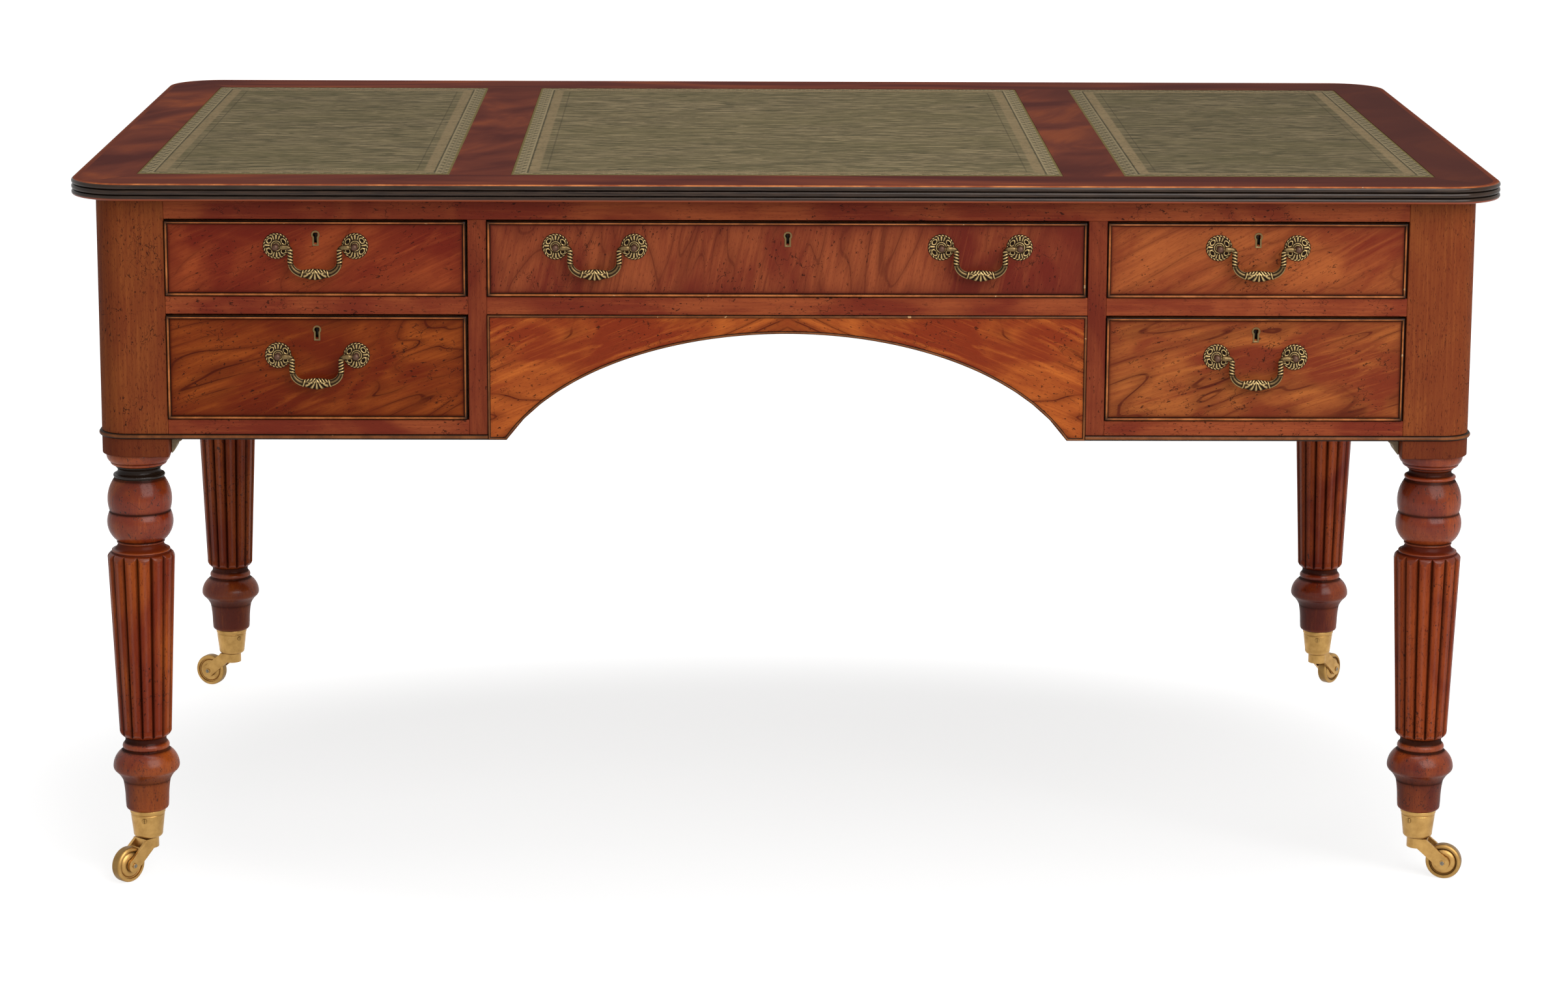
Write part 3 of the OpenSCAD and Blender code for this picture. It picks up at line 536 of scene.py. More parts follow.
def ebonised_wood(name):
    """Beech stained black and waxed: a grey sheen, a top arris rubbed through to orange, a few pale chips."""
    colours = bpy.context.scene.desk_colours
    made = Finish(name)
    add = made.add
    streaks, patches, chips = (
        add("TexNoise", add("Mapping", made.place, start, Scale=(size, size, tall), **TEXTURE), 1.0, *detail)
        for start, size, tall, *detail in (
            ((0, 0, 0), 0.03, 0.0012, 3.0, 0.6), ((0, 0, 0), 0.05, 0.02, 4.0, 0.7),
            ((2, 7, 4), 0.012, 0.004, 3.0, 0.75)))
    dark, land, wear, under = (add("Attribute", out=2, attribute_name=word)
                               for word in ("grime", "stain", "wear", "edge"))
    bare = add("Mix", add("MapRange", patches, 0.4, 0.65, **SMOOTH), linear("#8a4423"),
               colours.worn_wood, **COLOUR)
    rubbed = add("Math", wear, add("MapRange", patches, 0.28, 0.40, 0.55, 1.0), **TIMES)
    body = colours.ebonised
    # Near black in the hollows between the reeds is dirt and painted shade.
    for mask, tone in ((add("MapRange", streaks, 0.3, 0.7, **SMOOTH), linear("#3a2a1f")),
                       (add("Math", dark, 0.9, **TIMES), linear("#0d0907")),
                       (land, toned(colours.top_wood, 0.9, 0.9, 0.9)),
                       (rubbed, bare),
                       (under, linear("#8a3f22")),
                       (add("Math", add("MapRange", chips, 0.71, 0.73), wear, **TIMES), linear("#cdb592"))):
        body = add("Mix", mask, body, tone, **COLOUR)
    polish = add("MapRange", add("Math", wear, land, **MOST), 0.0, 1.0, 0.45, 0.04)
    return made.done(add("BsdfPrincipled", Base_Color=body, **UNDER_POLISH,
                         Coat_Weight=polish, Coat_Roughness=0.16))


def rubbed_bead(name, bare=0.95, tone=1.0):
    """Bead stained black and rubbed: a brown crown between two dark lines, with a few pale chips.

    Bare is how far the crown has been rubbed to brown, and tone is how bright the brown is.
    """
    colours = bpy.context.scene.desk_colours
    made = Finish(name)
    add = made.add
    patches, chips = (
        add("TexNoise", add("Mapping", made.place, start, Scale=(size,) * 3, **TEXTURE), 1.0, *detail)
        for start, size, *detail in (((0, 0, 0), 0.02, 4.0, 0.65), ((5, 1, 2), 0.014, 3.0, 0.7)))
    wear, stain = (add("Attribute", out=2, attribute_name=word) for word in ("wear", "stain"))
    browns = [toned(shade, tone, tone, tone) for shade in (colours.bead_crown, colours.worn_wood)]
    crown = add("Mix", add("MapRange", patches, 0.44, 0.7, 0.0, 0.8, **SMOOTH), *browns, **COLOUR)
    crown = add("Mix", add("MapRange", patches, 0.3, 0.6, 0.6 * bare, bare, **SMOOTH), linear("#33241a"),
                crown, **COLOUR)
    body = linear("#120a06")
    for mask, shade in ((wear, crown),
                        (add("Math", add("MapRange", chips, 0.70, 0.72), wear, **TIMES), linear("#c49a6c")),
                        (stain, linear("#1c120c"))):
        body = add("Mix", mask, body, shade, **COLOUR)
    return made.done(add("BsdfPrincipled", Base_Color=body, **UNDER_POLISH,
                         Coat_Weight=0.2, Coat_Roughness=0.22))


def tooled_leather(name, tone):
    """Vegetable-tanned hide, dyed olive, tooled with a worn gilt border: fine creases run along the desk."""
    colours = bpy.context.scene.desk_colours
    shade = toned(colours.leather, tone, tone, tone)
    made = Finish(name)
    add = made.add
    border = in_millimetres().leather_border
    edge, run = (add("Attribute", out=2, attribute_name=word) for word in ("edge", "run"))
    creases, patches, worn = (
        add("TexNoise", add("Mapping", made.place, Scale=size, **TEXTURE), 1.0, *detail)
        for size, *detail in (((0.036, 0.006, 0.01), 4.0, 0.62, 2.0, 1.2), ((0.2, 0.09, 0.1), 3.0, 0.55),
                              ((0.004, 0.006, 0.006), 4.0, 0.7)))
    # Waves along the border, one for each part of the ornament, repeat after so many millimetres.
    curve, leaves, beads = (add("Math", add("Math", run, TAU / pitch, **TIMES), operation="SINE")
                            for pitch in (22, 11, 2.4))
    # The border: a running scroll with leaves, a ruled line, a pale gilt band, and a dotted line.
    middle = add("Math", add("Math", curve, 4.2, **TIMES), border * 0.48, **PLUS)
    scroll = add("Math", add("Math", edge, middle, **LESS), **ONE_OF)
    scroll = add("MapRange", scroll, 1.2, 2.6, 1.0, 0.0)
    across = add("Math", add("Math", edge, TAU / 6, **TIMES), operation="SINE")
    leaf = add("MapRange", add("Math", leaves, across, **TIMES), 0.15, 0.5, 0.0, 0.8)
    inside = add("MapRange", edge, border - 1.2, border - 0.6, 1.0, 0.0)
    tooled = add("Math", add("Math", scroll, leaf, **MOST), inside, **TIMES)
    band = add("Math", add("MapRange", edge, border + 0.5, border + 2),
               add("MapRange", edge, border + 11, border + 13, 1.0, 0.0), **TIMES)
    gilt = add("Math", band, add("MapRange", worn, 0.35, 0.6, 0.25, 0.85), **TIMES)
    rules, dotted = (
        add("MapRange", add("Math", add("Math", edge, at, **LESS), **ONE_OF), inner, outer, 1.0, 0.0)
        for at, inner, outer in ((border, 0.4, 0.9), (border + 20, 0.5, 1.0)))
    dotted = add("Math", add("MapRange", beads, -0.3, 0.3), dotted, **TIMES)
    ruled = add("Math", rules, dotted, **MOST)
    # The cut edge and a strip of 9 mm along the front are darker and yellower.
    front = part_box("writing_leathers")[0][1]
    strip = add("MapRange", add("SeparateXYZ", made.place, out=1), front + 0.007, front + 0.011, 0.7, 0.0)
    cut = add("Math", add("MapRange", edge, 1.5, 4.0, 0.7, 0.0, **SMOOTH), strip, **MOST)
    body = toned(shade, 0.36, 0.4, 0.34)
    for mask, over in ((add("MapRange", creases, 0.36, 0.54, **SMOOTH), shade),
                       (add("MapRange", creases, 0.52, 0.66), toned(shade, 1.85, 1.87, 1.95)),
                       (add("MapRange", patches, 0.35, 0.7, 0.0, 0.5), toned(shade, 0.72, 0.78, 0.6)),
                       (add("Math", inside, 0.8, **TIMES), toned(shade, 2.0, 2.05, 2.2)),
                       (gilt, colours.gilding),
                       (add("Math", tooled, 0.8, **TIMES), toned(shade, 0.32, 0.35, 0.32)),
                       (add("Math", ruled, 0.75, **TIMES), toned(shade, 0.25, 0.27, 0.25)),
                       (cut, linear("#4f430f"))):
        body = add("Mix", mask, body, over, **COLOUR)
    pressed = add("Math", add("Math", tooled, ruled, **MOST), 0.8, **TIMES)
    normal = add("Bump", Strength=0.6, Distance=0.0006, Height=add("Math", creases, pressed, **LESS))
    return made.done(add("BsdfPrincipled", Base_Color=body, Roughness=0.7, Specular_IOR_Level=0.0,
                         Normal=normal, Coat_Weight=0.12, Coat_Roughness=0.42, Coat_Normal=normal))


def aged_brass(name, body, hollow, ridge, rough=0.34, metal=0.9):
    """Cast brass, chemically aged and rubbed: near-black hollows, a dull body, bright ridges."""
    made = Finish(name)
    add = made.add
    mottle = add("TexNoise", add("Mapping", made.place, Scale=(0.0024,) * 3, **TEXTURE), 1.0, 4.0, 0.65)
    dark, wear = (add("Attribute", out=2, attribute_name=word) for word in ("grime", "wear"))
    colour = body
    for mask, tone in ((add("MapRange", mottle, 0.3, 0.7, 0.0, 0.6), toned(body, 0.62, 0.6, 0.68)),
                       (wear, ridge), (dark, hollow)):
        colour = add("Mix", mask, colour, tone, **COLOUR)
    spread = add("MapRange", mottle, 0.3, 0.7, rough - 0.08, rough + 0.08)
    spread = add("Math", spread, add("Math", dark, 0.3, **TIMES), **PLUS)
    normal = add("Bump", Strength=0.25, Distance=0.0002, Height=mottle)
    return made.done(add("BsdfPrincipled", Base_Color=colour, Metallic=metal, Roughness=spread,
                         Normal=normal))


def polished_brass(name):
    """Turned and cast brass, polished and lightly tarnished: a warm mirror with dull patches."""
    bright = bpy.context.scene.desk_colours.brass_bright
    made = Finish(name)
    add = made.add
    tarnish, scuffs = (
        add("TexNoise", add("Mapping", made.place, Scale=size, **TEXTURE), 1.0, *detail)
        for size, *detail in (((0.014, 0.014, 0.014), 4.0, 0.65), ((0.0007, 0.0007, 0.004), 2.0, 0.6)))
    dark = add("Attribute", out=2, attribute_name="grime")
    body = bright
    # Tarnish dulls patches, and dirt and painted shade darken the hollows.
    for mask, tone in ((add("MapRange", tarnish, 0.4, 0.72, 0.0, 0.8), toned(bright, 0.66, 0.62, 0.56)),
                       (add("Math", dark, 0.85, **TIMES), linear("#3c2a12"))):
        body = add("Mix", mask, body, tone, **COLOUR)
    rough = add("Math", add("MapRange", tarnish, 0.35, 0.7, 0.36, 0.5),
                add("MapRange", scuffs, 0.5, 0.8, 0.0, 0.12), **PLUS)
    normal = add("Bump", Strength=0.08, Distance=0.0001, Height=scuffs)
    return made.done(add("BsdfPrincipled", Base_Color=body, Metallic=1.0, Roughness=rough, Normal=normal))


def plain_steel(name):
    """Bright steel of screws and axle ends, greyed by handling."""
    made = Finish(name)
    add = made.add
    marks = add("TexNoise", add("Mapping", made.place, Scale=(0.0017,) * 3, **TEXTURE), 1.0, 3.0, 0.6)
    body = add("Mix", add("MapRange", marks, 0.3, 0.7), linear("#8f8678"), linear("#5f5648"), **COLOUR)
    # Dirt and painted shade darken it: the plate inside the keyhole and the rivets where they meet the fork.
    dark = add("Attribute", out=2, attribute_name="grime")
    body = add("Mix", dark, body, linear("#241f1a"), **COLOUR)
    rough = add("MapRange", marks, 0.3, 0.7, 0.3, 0.5)
    return made.done(add("BsdfPrincipled", Base_Color=body, Metallic=1.0, Roughness=rough))


def planed_timber(name, dark, light, size):
    """Planed timber of the inside, unpolished: straight grain as long as size says, dull, with open pores."""
    made = Finish(name)
    add = made.add
    grain, pores = (
        add("TexNoise", add("Mapping", made.place, Scale=tuple(share * s for s in size), **TEXTURE), 1.0,
            *detail) for share, *detail in ((1, 4.0, 0.6, 2.0, 0.4), (0.12, 2.0, 0.6)))
    pores = add("MapRange", pores, 0.6, 0.72, 0.0, 0.5)
    body = add("Mix", add("MapRange", grain, 0.3, 0.7), dark, light, **COLOUR)
    body = add("Mix", pores, body, toned(dark, 0.4, 0.35, 0.3), **COLOUR)
    normal = add("Bump", Strength=0.3, Distance=-0.0003, Height=pores)
    return made.done(add("BsdfPrincipled", Base_Color=body, Roughness=0.65, Normal=normal))


def reeded_outline(sizes, thick):
    """Three reeds one above the other, from the board outwards, as (out, up) points, and their wear."""
    radius, width = sizes.reed, sizes.moulding
    pitch = (thick - 2 * radius) / 2
    nip = math.degrees(math.acos(pitch / 2 / radius))
    ends = ((-90, 90 - nip), (-90 + nip, 90 - nip), (-90 + nip, 90))
    reeds = [arc((width - radius, radius + k * pitch), radius, *ends[k], 12) for k in range(3)]
    return np.concatenate([[[0, 0]], *reeds, [[0, thick]]])


class DESK_OT_top(bpy.types.Operator):
    """Veneers the top board and sweeps the reeded moulding round it"""

    bl_idname = "desk.top"
    bl_label = "Top and edge moulding"

    def execute(self, context):
        sizes = in_millimetres()
        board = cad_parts["top_board"]
        board.data.materials.clear()
        board.data.materials.append(ready("Crossbanded mahogany", crossbanded_mahogany))
        low, high = millimetres("edge_moulding")
        thick, width = high[2] - low[2], sizes.moulding
        loop = resampled(reeded_outline(sizes, thick), 0.35)
        path, out = rounded_rectangle(high[0] - low[0] - 2 * width, high[1] - low[1] - 2 * width,
                                      sizes.top_corner - width, low[2])
        height = loop[:, 1] / thick
        # The rubbed arris shows along the long sides; the flat land behind it keeps the colour of the veneer.
        arris = np.clip((height - 0.94) / 0.03, 0, 1)
        arris = arris * np.clip(loop[:, 0] - width + sizes.reed + 1.5, 0.2, 1)
        wear = arris[None] * (0.15 + 0.85 * out[:, 1:2] ** 2)
        under = np.clip((0.15 - height) / 0.05, 0, 1)
        surface = Surface()
        # The hollows between the reeds are darkened with dirt and painted shade.
        surface.add(swept(path, out, loop), wrap_rows=True, grime=np.clip(hollows(loop, 1.2) * 6, 0, 1),
                    wear=wear, edge=under, stain=np.clip((height - 0.97) / 0.02, 0, 1))
        surface.piece("reeded_edge", "desk", "ebonised_wood", [ready("Ebonised beech", ebonised_wood)],
                      ("edge_moulding",))
        return {"FINISHED"}


class DESK_OT_leathers(bpy.types.Operator):
    """Lays the three tooled leathers: z = top - 0.35 exp(-(edge / 0.5)^2) - 0.12 lines + 0.05 waves"""

    bl_idname = "desk.leathers"
    bl_label = "Writing leathers"

    def execute(self, context):
        sizes = in_millimetres()
        border = sizes.leather_border
        low, high = millimetres("writing_leathers")
        half = sizes.middle_leather / 2
        outer = half + sizes.leather_band
        spans = {"left": (low[0], -outer, 0.93), "middle": (-half, half, 0.98),
                 "right": (outer, high[0], 0.8)}
        # The grid is fine where the border is tooled and plain between, with so many lines across and along.
        near = np.concatenate([[0, 0.15, 0.5], np.arange(1.2, border + 25, 1.25)])
        for name, (x0, x1, tone) in spans.items():
            stops = (np.concatenate([start + near, np.linspace(start + near[-1], end - near[-1], count)[1:-1],
                                     (end - near)[::-1]])
                     for start, end, count in ((x0, x1, 60), (low[1], high[1], 80)))
            xx, yy = np.meshgrid(*stops, indexing="ij")
            from_x, from_y = np.minimum(xx - x0, x1 - xx), np.minimum(yy - low[1], high[1] - yy)
            edge = np.minimum(from_x, from_y)
            run = np.where(from_x < from_y, yy - low[1], xx - x0)
            lines = sum(np.exp(-((edge - at) / 0.7) ** 2) for at in (border, border + 20))
            waves = np.sin(xx / 23 + 1.3 * np.sin(yy / 31)) * np.sin(yy / 17) * np.clip(edge / 30, 0, 1)
            z = high[2] - 0.05 - 0.35 * np.exp(-(edge / 0.5) ** 2) - 0.12 * lines + 0.05 * waves
            top = np.stack([xx, yy, z], axis=-1)
            under = np.stack([xx, yy, np.full_like(z, low[2])], axis=-1)
            surface = Surface()
            surface.add_slab(top, under, grid_faces(*xx.shape), edge=edge, run=run)
            surface.piece(f"leather_{name}", "desk", "leather",
                          [tooled_leather(f"Tooled leather {name}", tone)], ("writing_leathers",))
        return {"FINISHED"}


def bead_outline(width, stand):
    """A half-round bead with a rounded nose, as (inwards, out) points from the wall and back."""
    nose = arc((width / 2, stand - width / 2), width / 2, 180, 0, 10)
    return np.concatenate([[[0, -0.3]], nose, [[width, -0.3]]])


def mitred(path):
    """Unit mitre vectors of a closed outline, to its left, lengthened so that the offset keeps its width."""
    ahead = np.roll(path, -1, axis=0) - path
    ahead /= np.linalg.norm(ahead, axis=1)[:, None]
    left = np.stack([-ahead[:, 1], ahead[:, 0]], axis=1)
    both = left + np.roll(left, 1, axis=0)
    return both / np.maximum(1 + np.einsum("ij,ij->i", ahead, np.roll(ahead, 1, axis=0)), 0.25)[:, None]


class DESK_OT_carcase(bpy.types.Operator):
    """Finishes rails, panels, aprons and inner boards, and sweeps the beads along them"""

    bl_idname = "desk.carcase"
    bl_label = "Carcase and beads"

    def execute(self, context):
        sizes = in_millimetres()
        shades = context.scene.desk_colours
        soft = sizes.softness / 1000
        rail = ready("Rail mahogany", polished_mahogany, shades.rail, figure=0.25, lines=0.1, cloudy=0.8)
        panel = ready("Panel mahogany", polished_mahogany, shades.stile, slant=90, figure=0.25, lines=0.3,
                      cloudy=0.6)
        apron = ready("Apron mahogany", polished_mahogany, shades.apron, slant=-22, figure=0.8, lines=1.0,
                      shift=3.3, matched=True)
        pine = ready("Aged pine", planed_timber, linear("#6f6048"), shades.softwood, (0.07, 0.006, 0.006))
        for node, name, slot, finish, radius in (
                ("rails", "rails_polished", "mahogany", rail, soft),
                ("carcase_panels", "panels_polished", "mahogany", panel, soft),
                ("kneehole_aprons", "aprons_polished", "mahogany", apron, 0.5 * soft),
                ("inner_boards", "boards_planed", "plain_oak", pine, soft)):
            softened_copy(node, name, "desk", slot, finish, radius)
        beads = Surface()
        half = self.arch_beads(beads, sizes)
        self.astragals(beads, sizes, half)
        beads.piece("beads_ebonised", "desk", "ebonised_wood",
                    [ready("Carcase bead", rubbed_bead, 0.7, 0.62)], ("carcase_beads",))
        return {"FINISHED"}

    def arch_beads(self, surface, sizes):
        """A bead along the arch of each apron, an ellipse as wide as the kneehole. Returns half its width."""
        low, high = millimetres("kneehole_aprons")
        half, rise, width = high[0], sizes.arch_rise, sizes.apron_bead
        foot_x = half - sizes.arch_foot
        bend = rise / (1 - math.sqrt(1 - (foot_x / half) ** 2))
        x = np.linspace(-foot_x, foot_x, 97)
        arch = np.stack([x, low[2] + rise - bend * (1 - np.sqrt(1 - (x / half) ** 2))], axis=1)
        path = np.concatenate([[[-half, low[2]]], arch, [[half, low[2]], [half, high[2]], [-half, high[2]]]])
        outline = bead_outline(width, 2.0)
        flat = path[:, None] + mitred(path)[:, None] * outline[None, :, :1]
        out = np.broadcast_to(outline[None, :, 1] - low[1], flat.shape[:2])
        crown = np.exp(-((outline[:, 0] / width - 0.5) / 0.3) ** 4) * (outline[:, 1] > 1)
        for turn in (1, -1):
            surface.add(np.stack([turn * flat[..., 0], -turn * out, flat[..., 1]], axis=-1), wrap_rows=True,
                        wear=crown)
        return half

    def astragals(self, surface, sizes, half):
        """An astragal round the foot of each end of the carcase, from kneehole to kneehole."""
        low, high = millimetres("carcase_beads")
        height = sizes.base_bead
        inner = high - height / 2
        nose = np.concatenate([[[-0.3, 0]], arc((0, height / 2), height / 2, -90, 90, 12), [[-0.3, height]]])
        crown = np.exp(-((nose[:, 1] / height - 0.55) / 0.26) ** 4) * (nose[:, 0] > 1)
        run, normal = rounded_rectangle(2 * inner[0], 2 * inner[1], sizes.post_corner, low[2])
        # The right-hand half of the loop, in order, closed off at the kneehole.
        right = run[:, 0] > 0
        order = np.argsort(np.arctan2(run[right][:, 1], run[right][:, 0]))
        run, normal = run[right][order], normal[right][order]
        run = np.concatenate([[[half, *run[0, 1:]]], run, [[half, *run[-1, 1:]]]])
        normal = np.concatenate([normal[:1], normal, normal[-1:]])
        for side in (1, -1):
            surface.add(swept(run * [side, 1, 1], normal * [side, 1, 1], nose), wear=crown)


# Heights of the castor cups' rim and of the reeded shaft's foot, and the drop from the block to its top.
CUP_RIM, SHAFT_FOOT, SHAFT_DROP = 77.0, 170.0, 117


def leg_outline(sizes):
    """Turned outline from the block to the tenon in the cup, as (radius, height), joined from arcs."""
    high, low = sizes.shaft_top, sizes.shaft_foot
    bulbs = moulded([(0, 1), (34, 1), (34, 0), (31.6, -10, 1.5), (30.4, -10.6), (28, -14.2, 0.9),
                     (25.4, -14.8), (24.6, -17, 0.5), (26.6, -24.4, -2.7), (27.4, -24.8), (27.4, -27.4, 0.4),
                     (26.6, -28), (27, -29.4), (32.6, -65.5, 4.4, 16), (25.8, -98, 6, 16), (25, -98.6),
                     (25, -101, 0.9, 6), (24.6, -101.4), (31, -108.2, -1.5, 12), (31.2, -110, 0.5, 5),
                     (30.5, -110.6), (31.2, -111.4), (high, -SHAFT_DROP, 1.4, 12)])
    neck = moulded([(low, 93), (23.4, 83, 2), (23.4, 76, -1.2), (24.4, 69, 1.6)])
    vase = moulded([(25.4, 68), (36, 50, 2.6, 12), (33.5, 44, 0.8), (25.7, 33, -0.8), (23.6, 10, -0.5),
                    (23.2, 4), (19.9, 0, 1), (17.7, 0), (14.7, -25), (0, -25)])
    return np.concatenate([bulbs + [0, sizes.block_foot], neck + [0, CUP_RIM], vase[1:] + [0, CUP_RIM]])


class DESK_OT_legs(bpy.types.Operator):
    """Turns the four legs, cuts their reeds and stands the rounded posts on them"""

    bl_idname = "desk.legs"
    bl_label = "Legs and posts"

    # Depths of a reed's rounded sides and of the V between two reeds, and the heights round the black cove.
    reed_sides, reed_valley = 1.3, 2.9
    cove = (449.6, 463)

    def execute(self, context):
        sizes = in_millimetres()
        shades = context.scene.desk_colours
        # The right-hand legs are of darker wood.
        turned = {end: ready(f"Leg mahogany {end}", polished_mahogany, toned(shades.leg, *tone), slant=90,
                             figure=0.25, lines=0.1, pores=1.2, coat=0.5, gloss=0.2, shift=2.2)
                  for end, tone in (("left", (1, 1, 1)), ("right", (0.72, 0.6, 0.8)))}
        post = ready("Post mahogany", polished_mahogany, shades.post, slant=90, figure=0.08, lines=0.1,
                     grain=0.45, pores=1.3, shift=0.6, cloudy=0.3)
        high = millimetres("legs")[1]
        centre = high[:2] - sizes.post / 2
        outline, radius, t, cut, groove = self.reeded(sizes)
        looks = self.waxed(sizes, outline, cut, groove)
        cove = (outline[:, 1] > self.cove[0]) & (outline[:, 1] < self.cove[1])
        for name, sx, sy in CORNERS:
            surface = Surface()
            stain = np.where(cove & (name == "front_left"), 1.0, 0.0)[:, None]
            leg = np.stack(np.broadcast_arrays(sx * centre[0] + radius * np.cos(t),
                                               sy * centre[1] + radius * np.sin(t), outline[:, 1:2]), axis=-1)
            surface.add(leg, stain=stain, caps=False, **looks)
            rings, dark = self.post(sizes, millimetres("carcase_beads")[0][2], high[2])
            surface.add((rings + [*centre, 0]) * [sx, sy, 1], finish=1, edge=dark[:, None])
            surface.piece(f"leg_{name}", "desk", "mahogany", [turned[name.split("_")[1]], post], ("legs",),
                          sharp=50)
        return {"FINISHED"}

    def reeded(self, sizes):
        """The turned outline with its reeds, as a radius for each height and each angle t.

        On the shaft the radius is R - R / R_top * (sides * s^2 + valley * v): R is the shaft's taper, s is 0
        on the crown of a reed and 1 halfway to the next, and v rises from 0 to 1 as s goes from 0.7 to 1.
        """
        outline = resampled(leg_outline(sizes), 0.8)
        outline = np.column_stack([outline, hollows(outline, 2.6), hollows(outline, 7)])
        top, foot = sizes.block_foot - SHAFT_DROP, SHAFT_FOOT
        # The straight part of the shaft needs only one ring in twelve.
        even = np.arange(len(outline)) % 12 == 0
        outline = outline[(outline[:, 1] > top - 8) | (outline[:, 1] < foot + 8) | even]
        share = np.array([-1, -0.92, -0.83, -0.73, -0.6, -0.32, 0, 0.32, 0.6, 0.73, 0.83, 0.92])
        t = (np.arange(sizes.reeds)[:, None] + share[None] / 2).reshape(-1) * TAU / sizes.reeds
        share = np.abs(np.tile(share, sizes.reeds))[None]
        high, low = sizes.shaft_top, sizes.shaft_foot
        taper = np.interp(outline[:, 1], [foot - 14, foot, top, top + 7],
                          [low - 0.5, low, high, high + 0.5])[:, None]
        valley = np.clip((share - 0.7) / 0.3, 0, 1)
        reed = taper - taper / high * (self.reed_sides * share ** 2 + self.reed_valley * valley)
        shaft = (outline[:, 1] > foot - 14) & (outline[:, 1] < top + 7)
        cut = shaft[:, None] & (reed < outline[:, :1])
        radius = np.where(cut, reed, outline[:, :1])
        return outline, radius, t, cut, cut * np.clip((share - 0.58) / 0.42, 0, 1) ** 0.8

    def waxed(self, sizes, outline, cut, groove):
        """Wax and painted shade, wear and dullness of each point of a leg, from its height and hollow depth.
        """
        height, sunk, shaded = outline[:, 1:].T
        block, top = sizes.block_foot, sizes.block_foot - SHAFT_DROP
        # Painted shade darkens the upper bulb's crown, 30 to 50 mm below the block, and the foot darkens
        # downwards.
        block_shade_and_dark_foot = 0.42 * np.clip((height - block + 52) / 22, 0, 1) * (height < block - 29)
        block_shade_and_dark_foot += 0.36 * np.clip((CUP_RIM + 75 - height) / 50, 0, 1)
        # Wax and painted shade in the hollows; painted shade in wider hollows and quirks and down the reed
        # grooves.
        grime = (np.clip(sunk * 2.2, 0, 1) + np.clip(shaded * 0.4, 0, 0.55) + block_shade_and_dark_foot)[:, None] + groove
        wear = np.clip(-sunk * 1.6 - 0.15, 0, 0.7)[:, None] - groove
        shoulder = 1.3 * ((height > top - 2) & (height < top + 16))[:, None] * ~cut
        return {"grime": np.clip(grime, 0, 1), "wear": np.clip(wear, 0, 1), "edge": shoulder,
                "dull": 0.8 * cut}

    def post(self, sizes, bead, top):
        """Rings of a square with one large rounded corner, drawn in where the block's foot is rubbed round.

        Also returns how much wax has darkened each ring: the block below the bead is the darkest.
        """
        soft, round_r, foot = 1.2, sizes.post_corner, sizes.block_foot
        rings = []
        for inset, z in ((1.2, foot), (0.5, foot + 0.3), (0.1, foot + 0.9), (0, foot + 1.6), (0, bead),
                         (0, bead + 0.1), (0, top)):
            half = sizes.post / 2 - inset
            ring = np.concatenate([
                arc(((half - radius) * x, (half - radius) * y), radius, start, start + 90, steps)
                for x, y, radius, start, steps in ((1, -1, soft, -90, 4), (1, 1, round_r, 0, 24),
                                                   (-1, 1, soft, 90, 4), (-1, -1, soft, 180, 4))])
            rings.append(np.column_stack([ring, np.full(len(ring), z)]))
        return np.stack(rings), np.array([1.0] * 5 + [0.0] * 2)


def turned_to(side):
    """The half turn that takes a piece of the front to the back of the desk."""
    return Matrix.Rotation(math.pi if side == "back" else 0, 4, "Z")


